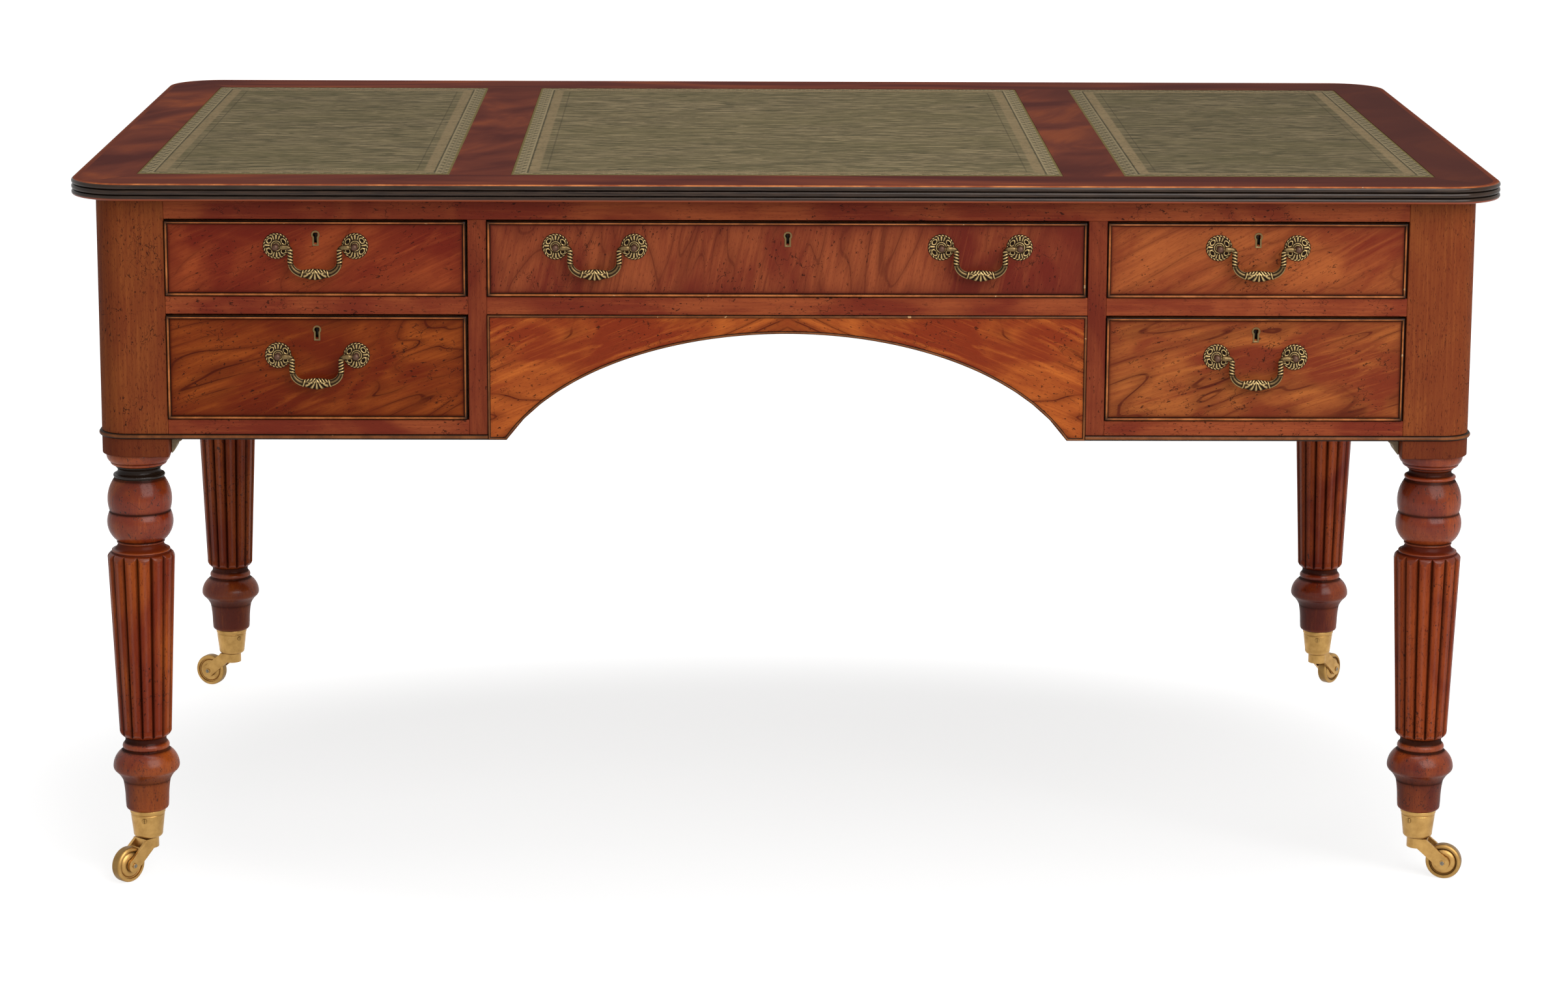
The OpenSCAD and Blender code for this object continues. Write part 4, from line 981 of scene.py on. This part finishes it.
class DESK_OT_drawers(bpy.types.Operator):
    """Builds the ten cockbeaded drawer fronts and finishes the drawer boxes"""

    bl_idname = "desk.drawers"
    bl_label = "Drawers"

    looks = {
        "top_left": dict(slant=25, figure=0.4, lines=0.5, shift=0.4, grain=0.4),
        "top_centre": dict(slant=78, figure=0.35, lines=0.6, shift=1.9, grain=0.4),
        "top_right": dict(slant=28, figure=0.4, lines=0.5, shift=2.6, grain=0.4),
        "bottom_left": dict(slant=20, figure=0.55, lines=1.0, shift=5.1, grain=0.4),
        "bottom_right": dict(slant=17, figure=0.7, lines=1.0, shift=7.7, grain=0.5),
    }
    # The quirk inside the bead, and the slot behind the keyhole: half its width, its foot and its head.
    quirk = 0.5
    slot = (2.6, -6, 5)

    def execute(self, context):
        sizes = in_millimetres()
        shades = context.scene.desk_colours
        oak = ready("Drawer oak", planed_timber, linear("#8d6a3e"), shades.oak, (0.008, 0.11, 0.008))
        bead = ready("Cockbead", rubbed_bead)
        for side in SIDES:
            for name in DRAWERS:
                veneer = ready(f"Drawer veneer {name}", polished_mahogany, getattr(shades, name),
                               **self.looks[name])
                front = self.front(sizes, f"{side}_{name}_face")
                front.move(turned_to(side))
                front.piece(f"{side}_{name}_front", f"{side}_{name}_drawer", "mahogany", [veneer, bead],
                            (f"{side}_{name}_face",), sharp=50)
                softened_copy(f"{side}_{name}_box", f"{side}_{name}_lining", f"{side}_{name}_drawer",
                              "plain_oak", oak, 0.0006)
        return {"FINISHED"}

    def front(self, sizes, face):
        """A board framed by a mitred bead, low and to the left in its opening, as a worn drawer sits."""
        low, high = millimetres(face)
        slack = sizes.slack / 2
        half, middle = ((v - slack)[[0, 2]] for v in ((high - low) / 2, (low + high) / 2))
        y = low[1] + sizes.cockbead_stand
        surface = Surface()
        self.bead(surface, sizes, half, middle, y, high[1] - y)
        # The field stands a hair clear of the frame.
        half = half - sizes.cockbead - self.quirk - 0.02
        self.field(surface, half, middle, y, high[1] - y, high[2] - sizes.keyhole_drop - middle[1])
        return surface

    def bead(self, surface, sizes, half, middle, y, back):
        """The mitred bead, black near its corners, with the board's brown edge behind it."""
        bead, stand, quirk = sizes.cockbead, sizes.cockbead_stand, self.quirk
        profile = np.concatenate([[[bead + quirk, -back], [0.6, -back], [0, -back + 0.6], [0, -3], [0, 0]],
                                  bead_outline(bead, stand)[1:-1], [[bead, -quirk], [bead + quirk, -quirk]]])
        corners = half * [[-1, -1], [1, -1], [1, 1], [-1, 1]]
        following = np.roll(corners, -1, axis=0)
        run = (following - corners) / np.linalg.norm(following - corners, axis=1)[:, None]
        away = np.array([0, 4, 10, 18])
        path = np.concatenate([corners[:, None] + run[:, None] * away[:, None],
                               following[:, None] - run[:, None] * away[:0:-1, None]], axis=1).reshape(-1, 2)
        flat = path[:, None] + mitred(path)[:, None] * profile[:, :1]
        points = np.stack([middle[0] + flat[..., 0], np.broadcast_to(y - profile[:, 1], flat.shape[:2]),
                           middle[1] + flat[..., 1]], axis=-1)
        # The crown is narrower along the right and the top, which lie in the shade of their openings.
        shaded = np.repeat([0, 1, 1, 0], 2 * len(away) - 1)[:, None]
        crown = np.exp(-((profile[:, 0] / bead - 0.56 - 0.1 * shaded) / (0.34 - 0.08 * shaded)) ** 4)
        crown = crown * (profile[:, 1] > 0.3 * stand) + 0.6 * (profile[:, 1] < -2)
        black = np.tile(np.exp(-(np.concatenate([away, away[:0:-1]]) / 8) ** 2), 4)
        surface.add(points, wrap_rows=True, finish=1, wear=crown, stain=0.85 * black[:, None])

    def field(self, surface, half, middle, y, back, key):
        """The veneered board, a grid of cells that is finer along its edges and open behind the keyhole."""
        wide, foot, head = self.slot
        near = np.array([0, 0.5, 1.5, 3, 6, 11, 18])
        xs, zs = (np.unique([*(near - edge), *np.arange(-edge + 25, edge - 24, 8), *(edge - near), *sides])
                  for edge, sides in zip(half, ((-wide, wide), (key + foot, key + head))))
        grid_x, grid_z = np.meshgrid(xs, zs, indexing="ij")
        inset = np.minimum(half[0] - np.abs(grid_x), half[1] - np.abs(grid_z))
        field = np.stack([middle[0] + grid_x, np.full_like(grid_x, y), middle[1] + grid_z], axis=-1)
        mid_x, mid_z = (xs[:-1] + xs[1:])[:, None] / 2, (zs[:-1] + zs[1:])[None] / 2
        slot = (np.abs(mid_x) < wide) & (mid_z > key + foot) & (mid_z < key + head)
        # The field darkens next to the quirk, dirt and painted shade, and more gently over 7 mm towards its
        # edges.
        surface.add_slab(field, field + [0, back, 0], grid_faces(*grid_x.shape)[~slot.reshape(-1)],
                         grime=np.exp(-(inset / 1.3) ** 2), edge=np.exp(-inset / 7))


# Holes pierced through a rosette, with scrolls round them: angle in degrees, distance, half width and height.
PIERCED = ((38, 9.2, 2.8, 1.9), (150, 9.0, 3.0, 1.9), (215, 9.4, 2.4, 2.0), (322, 9.1, 3.1, 2.0))


def rosette_relief(r, t, radius):
    """Height of a rosette over its plate: a roped rim, fans of ribs, and scrolls round the pierced holes."""
    height = 0.55 + 0.55 * np.exp(-((r - radius + 1.3) / 0.75) ** 2) * (0.62 + 0.38 * np.cos(22 * t + 2 * r))
    for angle in (90, 268, 5):
        off = (t - math.radians(angle) + math.pi) % TAU - math.pi
        fan = np.exp(-(off / 0.42) ** 4) * np.exp(-((r - 9.4) / 2.9) ** 4)
        height = height + fan * (0.32 + 0.34 * np.cos(17 * off))
    sink = np.ones_like(r)
    for angle, away, wide, tall in PIERCED:
        a = math.radians(angle)
        x, y = r * np.cos(t) - away * math.cos(a), r * np.sin(t) - away * math.sin(a)
        far = np.hypot((x * -math.sin(a) + y * math.cos(a)) / wide,
                       (x * math.cos(a) + y * math.sin(a)) / tall)
        height = height + 0.5 * np.exp(-((far - 1.15) / 0.24) ** 2)
        sink = sink * np.clip((far - 0.62) / 0.3, 0, 1)
    boss = np.exp(-((r - 5.2) / 0.7) ** 2) * 0.5 + np.clip((4.6 - r) / 1.2, 0, 1) * 0.5
    return (height + boss) * (0.12 + 0.88 * sink) + 0.25, sink


def keyhole_outline(grow):
    """Outline of a keyhole, grown all round: a round head over a straight slot, as (x, z) from its middle."""
    head, slot = 3.1 + grow, 1.9 + grow
    reach = math.degrees(math.asin(slot / head))
    top = arc((0, 3.9), head, -90 + reach, 270 - reach, 26)
    foot = -6.6 - grow
    low = arc((-slot + 0.5, foot + 0.5), 0.5, 180, 270, 3)
    return np.concatenate([top, low, (low * [-1, 1])[::-1]])


def handle_brass():
    """The finish that rosettes and bails share."""
    colours = bpy.context.scene.desk_colours
    return ready("Antique brass", aged_brass, colours.brass_old, colours.brass_patina, colours.brass_worn)


class DESK_OT_fittings(bpy.types.Operator):
    """Casts the rosettes with their posts, and sets the keyhole escutcheons, bolts and locks"""

    bl_idname = "desk.fittings"
    bl_label = "Rosettes, posts and locks"

    # Steps round a rosette, a post, a bolt and a nut.
    rosette_steps, post_steps, bolt_steps, nut_steps = 132, 28, 12, 6

    def execute(self, context):
        sizes = in_millimetres()
        bronzed = ready("Bronzed brass", aged_brass, context.scene.desk_colours.bronzing, linear("#1c120b"),
                        linear("#b0907a"), rough=0.42, metal=0.6)
        finishes = [handle_brass(), bronzed, ready("Lock steel", plain_steel)]
        for side in SIDES:
            for name in DRAWERS:
                surface = Surface()
                low, high = millimetres(f"{side}_{name}_face")
                y = low[1] + sizes.cockbead_stand
                for bail in bails_of(side, name):
                    start, end = millimetres(bail)
                    for sign in (-1, 1):
                        x = (start[0] + end[0]) / 2 + sign * sizes.post_gap / 2
                        self.handle_post(surface, sizes, x, y, end[2] - sizes.rod, sign)
                self.escutcheon(surface, (low[0] + high[0]) / 2, y, high[2] - sizes.keyhole_drop,
                                high[1] - y)
                surface.move(turned_to(side))
                surface.piece(f"{side}_{name}_mounts", f"{side}_{name}_drawer", "antique_brass", finishes,
                              (f"{side}_{name}_fittings",), sharp=60)
        return {"FINISHED"}

    def handle_post(self, surface, sizes, x, y, z, sign):
        """A pierced rosette, the turned post on it, and the threaded bolt and nut behind the board."""
        brass = Surface()
        self.rosette(brass, sizes.rosette, sign)
        reach = sizes.reach
        stem = moulded([(0, 0), (3.4, 0), (3.2, 1.4), (2.0, reach - 4.6, 0.7), (2.6, reach - 3.9)])
        post = resampled(np.concatenate([stem, arc((0, reach), sizes.ball, -47, 90, 18)]), 0.35)
        dark = np.clip(np.abs(hollows(post, 0.9)) * 3 - 0.25, 0, 1) * (post[:, 1] < reach - 2.5)
        brass.add(revolved(post, self.post_steps), caps=False, finish=1, grime=dark[:, None])
        bolt = [[0, 0.2], [2, 0.2], [2, -26], [0, -26]]
        nut = [[0, -20.3], [4.6, -20.3], [5, -20.8], [5, -23], [4.6, -23.4], [0, -23.4]]
        for outline, steps in ((bolt, self.bolt_steps), (nut, self.nut_steps)):
            brass.add(revolved(outline, steps), caps=False)
        brass.move(Matrix.Translation((x, y, z)) @ Matrix.Rotation(math.pi / 2, 4, "X"))
        surface.take(brass)

    def rosette(self, surface, radius, sign):
        """A plate round the post, scalloped by cos 11 t, whose face rises by the rosette's relief."""
        r = np.concatenate([np.linspace(2.4, radius - 2.2, 20), np.linspace(radius - 1.8, radius - 0.3, 7)])
        rr, tt = np.meshgrid(r, np.arange(self.rosette_steps) * TAU / self.rosette_steps, indexing="ij")
        relief, sink = rosette_relief(rr, tt if sign > 0 else math.pi - tt, radius)
        scallop = 1 + (0.035 * np.abs(np.cos(11 * tt)) - 0.02) * np.clip((rr - radius + 2.5) / 2.5, 0, 1)
        sunk = blurred(relief, 3) - relief
        face = np.stack([rr * scallop * np.cos(tt), rr * scallop * np.sin(tt), relief], axis=-1)
        rim, under, inner = face[-1] * [1.015, 1.015, 0.45], face[-1] * [1, 1, 0], face[0] * [1, 1, 0]
        # Patina in the hollows, painted shade in the pierced holes and round the post's foot, and a darker
        # tone all over.
        dark = np.clip(sunk * 18 + 2.4 * (1 - sink) + 0.25 + 0.5 * (rr < 5.6), 0, 1)
        light = np.clip(-sunk * 15 - 0.15, 0, 1)
        dark, light = (np.concatenate([v, v[-1:], v[-1:], v[:1]]) for v in (dark, light))
        surface.add(np.concatenate([face, [rim, under, inner]]), wrap_rows=True, grime=dark, wear=light)

    def escutcheon(self, surface, x, y, z, thick):
        """A keyhole-shaped brass thread let into the board, and the lock's plate and case behind it."""
        outer, inner = keyhole_outline(1.45), keyhole_outline(-0.35)
        # Each ring with its depth, how dark it is and how rubbed: painted shade on the keyhole's walls and
        # joint.
        rings = ((outer, 0.5, 0.7, 0), (outer, -0.35, 0.3, 0), (outer * 0.985, -0.6, 0, 0.2),
                 (inner * 1.03, -0.6, 0.1, 0.2), (inner, -0.4, 0.4, 0), (inner, 5, 0.9, 0), (outer, 5, 1, 0))
        points = np.stack([np.column_stack([x + ring[:, 0], np.full(len(ring), y + deep), z + ring[:, 1] - 1])
                           for ring, deep, _, _ in rings])
        dark, light = (np.array([ring[k] for ring in rings])[:, None] for k in (2, 3))
        surface.add(points, wrap_rows=True, grime=dark, wear=light)
        # The lock's case behind the board, and its plate, black with painted shade, inside the keyhole: half
        # the width, how far it reaches below and above the keyhole, the thickness, the depth, the softness
        # and how dark.
        for half, foot, head, thin, at, soft, grime in ((32, 24, 8, 11, thick, 1.0, 0.0),
                                                        (5, 10, 9, 0.6, 6, 0.2, 1.0)):
            box = box_surface((x - half, z - foot, 0), (x + half, z + head, thin), soft)
            surface.add(np.stack([box[..., 0], y + at + box[..., 2], box[..., 1]], axis=-1), finish=2,
                        grime=grime)


def bails_of(side, name):
    """Names of the bail nodes of one drawer."""
    return [f"{side}_{name}_{part}bail" for part in (("a_", "b_") if name == "top_centre" else ("",))]


class DESK_OT_bails(bpy.types.Operator):
    """Casts the swan-neck bails: spiral ribs on the arms, channels in the bends, a shell in the grip"""

    bl_idname = "desk.bails"
    bl_label = "Bails"

    # Radii of the upper and lower bends, the arms' distance from the middle, and the depth of the grip.
    bends, arm, grip_depth = (4.6, 13.0), 26.0, 6.8

    def execute(self, context):
        sizes = in_millimetres()
        finish = handle_brass()
        points, grime, wear = self.casting(sizes)
        for side in SIDES:
            for name in DRAWERS:
                for bail in bails_of(side, name):
                    low, high = millimetres(bail)
                    surface = Surface()
                    surface.add(points, grime=grime, wear=wear)
                    surface.move(turned_to(side) @ Matrix.Translation((
                        (low[0] + high[0]) / 2, low[1] + self.grip_depth / 2, high[2] - sizes.rod)))
                    surface.piece(bail.replace("bail", "swan_neck"), bail, "antique_brass", [finish], (bail,),
                                  sharp=60)
        return {"FINISHED"}

    def casting(self, sizes):
        """A tube along half a path of straights and arcs, mirrored.

        Point = path + a cos f * normal + b sin f * front, where a and b change along the path and the relief
        is added to both. Here u is the distance from the middle of the grip and f the angle round the rod.
        """
        drop, (top_bend, low_bend), arm = sizes.drop, self.bends, self.arm
        gap = sizes.post_gap / 2
        half = np.concatenate([[[0, -drop]], arc((arm - low_bend, low_bend - drop), low_bend, -90, 0, 20),
                               arc((arm + top_bend, -top_bend), top_bend, 180, 90, 14), [[gap + 1.5, 0]]])
        half = resampled(half, 0.5)
        u = np.arange(len(half)) * np.linalg.norm(half[1] - half[0])
        u = u / u[-1] * np.linalg.norm(np.diff(half, axis=0), axis=1).sum()
        end = u[-1]
        ball_at = end - (1.5 + sizes.ball + 0.5)
        knots = [0, 4, 9, 13, 18, 26, 34, 46, ball_at - 7, ball_at - 3, ball_at - 0.8, ball_at, end]
        a = np.interp(u, knots, [6.2, 5.9, 5.0, 4.1, 3.6, 3.2, 3.0, 2.9, 2.7, 3.1, 2.6, 1.5, 1.5])
        b = np.interp(u, knots, [3.3, 3.3, 3.2, 3.1, 3.1, 3.0, 2.9, 2.8, 2.7, 3.0, 2.6, 1.5, 1.5])
        lower = np.interp(u, [0, 4, 9, 14, 20], [0.9, 0.85, 0.6, 0.25, 0])
        tangent = np.gradient(half, axis=0)
        tangent /= np.linalg.norm(tangent, axis=1)[:, None]
        normal = np.stack([tangent[:, 1], -tangent[:, 0]], axis=1)
        middle = half + normal * lower[:, None]
        uu, ff = np.meshgrid(u, np.arange(32) * TAU / 32, indexing="ij")
        relief = self.relief(uu, ff, -a[:, None] * np.cos(ff)) * (uu < ball_at - 6)
        sunk = blurred(relief, 2) - relief
        across_path = (a[:, None] + relief) * np.cos(ff)
        out = (b[:, None] + relief) * np.sin(ff)
        right = np.stack([middle[:, :1] + normal[:, :1] * across_path, -out,
                          middle[:, 1:] + normal[:, 1:] * across_path], axis=-1)
        grime = np.clip(sunk * 13 + 0.2 * (uu < ball_at - 6), 0, 1)
        wear = np.clip(-sunk * 9 - 0.1 + 0.3 * (uu > ball_at - 9), 0, 1)
        left = right[:0:-1] * [-1, 1, 1]
        return (np.concatenate([left, right]), np.concatenate([grime[:0:-1], grime]),
                np.concatenate([wear[:0:-1], wear]))

    def relief(self, u, f, up):
        """Height of the ornament at the distance u, the angle f and the height up over the rod's middle.

        Spirals cos(2 f + k u) on the arms, a channel at f = 90 degrees in the bends, collars, and on the
        grip a shell of ribs that fan out from one point, cos(13 ray), with a ridge and slanting leaves above.
        """
        facing = np.clip(np.sin(f) * 1.4 + 0.35, 0, 1)
        arms = np.clip((u - 29) / 4, 0, 1) * np.clip((48 - u) / 3, 0, 1)
        spirals = 0.42 * np.cos(2 * f + u * TAU / 3.4) * arms
        bends = np.clip((u - 13.5) / 2, 0, 1) * np.clip((31 - u) / 3, 0, 1)
        off = f - math.pi / 2 - 0.25
        ribs = 0.5 * np.cos(5 * off) * np.exp(-(off / 1.5) ** 2)
        channel = bends * (ribs - 0.8 * np.exp(-(off / 0.38) ** 2))
        ray = np.arctan2(u, 5.5 - up)
        shell = 0.48 * np.cos(13 * ray) * np.clip((1.8 - up) / 0.8, 0, 1)
        leaves = 0.42 * np.cos(TAU * (u + 0.7 * up) / 3.1) * np.clip((up - 2.2) / 0.8, 0, 1)
        ridge = 0.5 * np.exp(-((up - 2.0 + u * 0.08) / 0.55) ** 2)
        grip = (shell + leaves + ridge) * np.clip((13 - u) / 1.5, 0, 1)
        collar = 0.55 * np.exp(-((u - 13.6 + 0.25 * up) / 0.8) ** 2) + 0.3 * np.exp(-((u - 33) / 0.7) ** 2)
        return spirals + channel + grip * facing + collar * facing


def castor_places():
    """Name, middle of the leg and rest angle of each castor: the axle of its wheel lies behind the swivel."""
    inner = millimetres("castor_cups")[1][:2] - in_millimetres().cup
    for name, sx, sy in CORNERS:
        low, high = (np.array(corner) * 1000 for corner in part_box(f"{name}_wheel"))
        place = inner * [sx, sy]
        to_wheel = (low + high)[:2] / 2 - place
        yield name, place, math.atan2(to_wheel[1], to_wheel[0])


class DESK_OT_castors(bpy.types.Operator):
    """Turns the brass cups and wheels, and finishes the forks with their steel axles"""

    bl_idname = "desk.castors"
    bl_label = "Castors"

    screw_turns = {"front_left": -95, "front_right": -133, "back_left": -50, "back_right": -100}
    # Height of a cup's underside and of the screw in its side, and the steps round a cup or a wheel.
    cup_foot, screw_height, steps = 45, 66.5, 72

    def execute(self, context):
        sizes = in_millimetres()
        brass, steel = ready("Polished brass", polished_brass), ready("Axle steel", plain_steel)
        cups = Surface()
        for name, place, angle in castor_places():
            self.cup(cups, sizes, place, math.radians(self.screw_turns[name]))
            softened_copy(f"{name}_fork", f"{name}_horn", f"{name}_fork", "polished_brass", brass, 0.0006)
            wheel, rivets = self.wheel(sizes), self.rivets()
            for turned in (wheel, rivets):
                turned.move(Matrix.Translation((*place, 0)) @ Matrix.Rotation(angle, 4, "Z")
                            @ Matrix.Translation((sizes.trail, 0, sizes.wheel))
                            @ Matrix.Rotation(math.pi / 2, 4, "X"))
            wheel.piece(f"{name}_disc", f"{name}_wheel", "polished_brass", [brass], (f"{name}_wheel",), 45)
            rivets.piece(f"{name}_axle_ends", f"{name}_fork", "polished_brass", [steel])
        cups.piece("cups_turned", "desk", "polished_brass", [brass], ("castor_cups",), 45)
        return {"FINISHED"}

    def cup(self, surface, sizes, place, screw_at):
        """The cup's outline turned round the leg, with a grooved rim, and a slotted screw in its side."""
        r, foot = sizes.cup, self.cup_foot
        outline = resampled(moulded([
            (0, foot), (r - 7.3, foot), (r - 3.3, 50, -1.4, 5), (r - 0.9, 70.6), (r - 1.4, 71),
            (r - 1.4, 71.8), (r - 0.5, 72.4), (r, 76, -0.2, 4), (r - 0.4, CUP_RIM), (r - 1.6, CUP_RIM),
            (r - 4.6, 52), (0, 52)]), 0.45)
        # The cup's grooves are darkened with dirt and painted shade.
        surface.add(revolved(outline, self.steps) + [*place, 0], caps=False,
                    grime=np.clip(hollows(outline, 1.0) * 5, 0, 1)[:, None])
        screw = Surface()
        head = [[0, -2], [2.7, -2], [2.85, 0.35], [2.5, 0.75], [1.4, 0.8], [0, 0.8]]
        # The screw's head is darker against the cup, painted shade, and its slot is painted dark as shade.
        screw.add(revolved(head, 40), caps=False, grime=np.array([0, 0.6, 0.9, 0.1, 0.2, 0.3])[:, None])
        screw.add(box_surface((-2.4, -0.35, 0.62), (2.4, 0.35, 0.86), 0.05), grime=1.0)
        screw.move(Matrix.Translation((*place, 0)) @ Matrix.Rotation(screw_at, 4, "Z")
                   @ Matrix.Translation((r - 1.1, 0, self.screw_height))
                   @ Matrix.Rotation(math.pi / 2, 4, "Y"))
        surface.take(screw)

    def wheel(self, sizes):
        """A dished disc turned with a raised hub, a rounded tread and two fine rings on each face."""
        rim, h = sizes.wheel, sizes.wheel_width / 2
        face = moulded([(3.05, h), (6.4, h), (7.2, h - 0.6), (rim - 5.2, h - 3.2, 1.2), (rim - 4.6, h - 2.9),
                        (rim - 4.2, h - 0.9), (rim, h - 4, 1.4)])
        outline = resampled(np.concatenate([face, (face * [1, -1])[::-1], face[:1]]), 0.4)
        sunk = hollows(outline[:len(outline) // 2], 1.2)
        sunk = np.concatenate([sunk, sunk[::-1], sunk[:1]])[:len(outline)]
        tread = 0.6 * np.clip(outline[:-1, 0] - rim + 1, 0, 1)
        # Its rings are darkened with dirt and painted shade, and its worn tread too.
        grime = np.maximum(np.clip(np.abs(sunk[:-1]) * 2.2 - 0.1, 0, 0.8), tread)
        surface = Surface()
        surface.add(revolved(outline[:-1], self.steps), wrap_rows=True, grime=grime[:, None])
        return surface

    def rivets(self):
        """The riveted ends of an axle, domed, with painted shade where they meet the fork."""
        surface = Surface()
        head = np.array([[0, 12.4], [2.2, 12.3], [2.9, 11.8], [3.1, 11.2], [3.1, 10.4], [0, 10.4]])
        for end in (1, -1):
            surface.add(revolved(head * [1, end], 20), caps=False,
                        grime=np.array([0, 0, 0.2, 0.8, 1, 1])[:, None])
        return surface


class DeskStage(bpy.types.PropertyGroup):
    """Levels of the studio round the desk."""

    key: FloatProperty(name="Key", description="Power of the large lamp in front", default=150, unit="POWER")
    top: FloatProperty(name="Top", description="Power of the lamp above", default=60, unit="POWER")
    ambient: FloatProperty(name="Ambient", description="Strength of the white surroundings", default=0.35,
                           min=0)


class DESK_OT_stage(bpy.types.Operator):
    """Sets the white floor and surroundings, the soft lamps and the camera"""

    bl_idname = "desk.stage"
    bl_label = "Studio"

    def execute(self, context):
        scene = context.scene
        levels = scene.desk_stage
        scene.view_settings.view_transform = "Standard"
        self.floor()
        self.surroundings(levels.ambient)
        self.lamp("Key", (1.8, -3.2, 2.8), (0, 0, 0.45), 3.4, levels.key)
        self.lamp("Top", (0.2, -0.2, 3.4), (0, 0, 0.7), 2.4, levels.top)
        self.camera(scene)
        return {"FINISHED"}

    def floor(self):
        """A square of white floor, 30 m wide, white to the camera but for the desk's shadow, cast and
        painted.
        """
        made = Finish("White floor")
        add = made.add
        plain = add("BsdfDiffuse", (0.8, 0.8, 0.8, 1))
        shaded = add("BsdfDiffuse", (0.3, 0.3, 0.3, 1))
        # The glow dims in an oval round the desk's footprint, a painted shadow, and rises to full white
        # further out.
        away = add("VectorMath", add("Mapping", made.place, (0, -0.08, 0), Scale=(0.92, 0.62, 1), **TEXTURE),
                   operation="LENGTH")
        glow_with_painted_shadow = add("Emission", (1, 1, 1, 1), add("MapRange", away, 0.7, 1.35, 0.745, 1.0, **SMOOTH))
        seen = add("MixShader", self.seen(made.tree), plain, add("AddShader", shaded, glow_with_painted_shadow))
        mesh = bpy.data.meshes.new("studio_floor")
        mesh.from_pydata([(-15, -15, 0), (15, -15, 0), (15, 15, 0), (-15, 15, 0)], [], [(0, 1, 2, 3)])
        mesh.materials.append(made.done(seen))
        floor = bpy.data.objects.new("studio_floor", mesh)
        bpy.context.scene.collection.objects.link(floor)

    def seen(self, tree):
        """1 for what the camera sees, also in reflections and through glass, and 0 for light on its way."""
        rays = [add_node(tree, "LightPath", out=k) for k in (0, 3, 6)]
        return add_node(tree, "Math", add_node(tree, "Math", *rays[:2], **MOST), rays[2], **MOST)

    def surroundings(self, ambient):
        """White to the camera and in reflections; a softer white as light."""
        world = bpy.data.worlds.new("White studio")
        bpy.context.scene.world = world
        world.use_nodes = True
        tree = world.node_tree
        tree.nodes.clear()
        strength = add_node(tree, "MapRange", self.seen(tree), 0.0, 1.0, ambient, 1.0)
        add_node(tree, "OutputWorld", add_node(tree, "Background", (1, 1, 1, 1), strength))

    def lamp(self, name, place, target, size, power):
        """A square softbox at one point, aimed at another."""
        data = bpy.data.lights.new(name, "AREA")
        data.shape = "SQUARE"
        data.size = size
        data.energy = power
        lamp = bpy.data.objects.new(name, data)
        aim = Vector(place) - Vector(target)
        lamp.matrix_world = Matrix.Translation(place) @ aim.to_track_quat("Z", "Y").to_matrix().to_4x4()
        bpy.context.scene.collection.objects.link(lamp)

    def camera(self, scene):
        """The photograph's viewpoint: 4.8 m away at the height of 1.4 m, looking down by 11 degrees."""
        place = (-0.06814, -4.78383, 1.41319)
        yaw, pitch, roll = 0.0157, 0.1942, 0.0049
        ahead = math.cos(pitch)
        forward = np.array([math.sin(yaw) * ahead, math.cos(yaw) * ahead, -math.sin(pitch)])
        right = np.array([math.cos(yaw), -math.sin(yaw), 0])
        up = np.cross(right, forward)
        axes = np.eye(4)
        axes[:3, 0] = math.cos(roll) * right + math.sin(roll) * up
        axes[:3, 1] = -math.sin(roll) * right + math.cos(roll) * up
        axes[:3, 2] = -forward
        axes[:3, 3] = place
        data = bpy.data.cameras.new("Camera")
        data.sensor_width = 36
        data.lens = 95.26
        data.shift_x = -0.0021
        data.shift_y = -0.07
        camera = bpy.data.objects.new("Camera", data)
        camera.matrix_world = Matrix(axes.tolist())
        scene.collection.objects.link(camera)
        scene.camera = camera


OPERATORS = (DESK_OT_stage, DESK_OT_top, DESK_OT_leathers, DESK_OT_carcase, DESK_OT_legs, DESK_OT_drawers,
             DESK_OT_fittings, DESK_OT_bails, DESK_OT_castors)


class DESK_PT_panel(bpy.types.Panel):
    """Lists the desk's operators and settings in the sidebar of the 3D view."""

    bl_label = "Desk"
    bl_idname = "DESK_PT_panel"
    bl_space_type = "VIEW_3D"
    bl_region_type = "UI"
    bl_category = "Desk"

    def draw(self, context):
        column = self.layout.column()
        for operator in OPERATORS:
            column.operator(operator.bl_idname)
        for settings in (context.scene.desk_sizes, context.scene.desk_colours, context.scene.desk_stage):
            for name in settings.__annotations__:
                column.prop(settings, name)


CLASSES = (DeskSizes, DeskColours, DeskStage, *OPERATORS, DESK_PT_panel)


def register():
    for item in CLASSES:
        bpy.utils.register_class(item)
    bpy.types.Scene.desk_sizes = PointerProperty(type=DeskSizes)
    bpy.types.Scene.desk_colours = PointerProperty(type=DeskColours)
    bpy.types.Scene.desk_stage = PointerProperty(type=DeskStage)


def unregister():
    del bpy.types.Scene.desk_stage, bpy.types.Scene.desk_colours, bpy.types.Scene.desk_sizes
    for item in reversed(CLASSES):
        bpy.utils.unregister_class(item)


def main():
    register()
    for operator in OPERATORS:
        group, name = operator.bl_idname.split(".")
        if getattr(getattr(bpy.ops, group), name)() != {"FINISHED"}:
            raise RuntimeError(f"{operator.bl_label} did not finish")


if __name__ == "__main__":
    main()
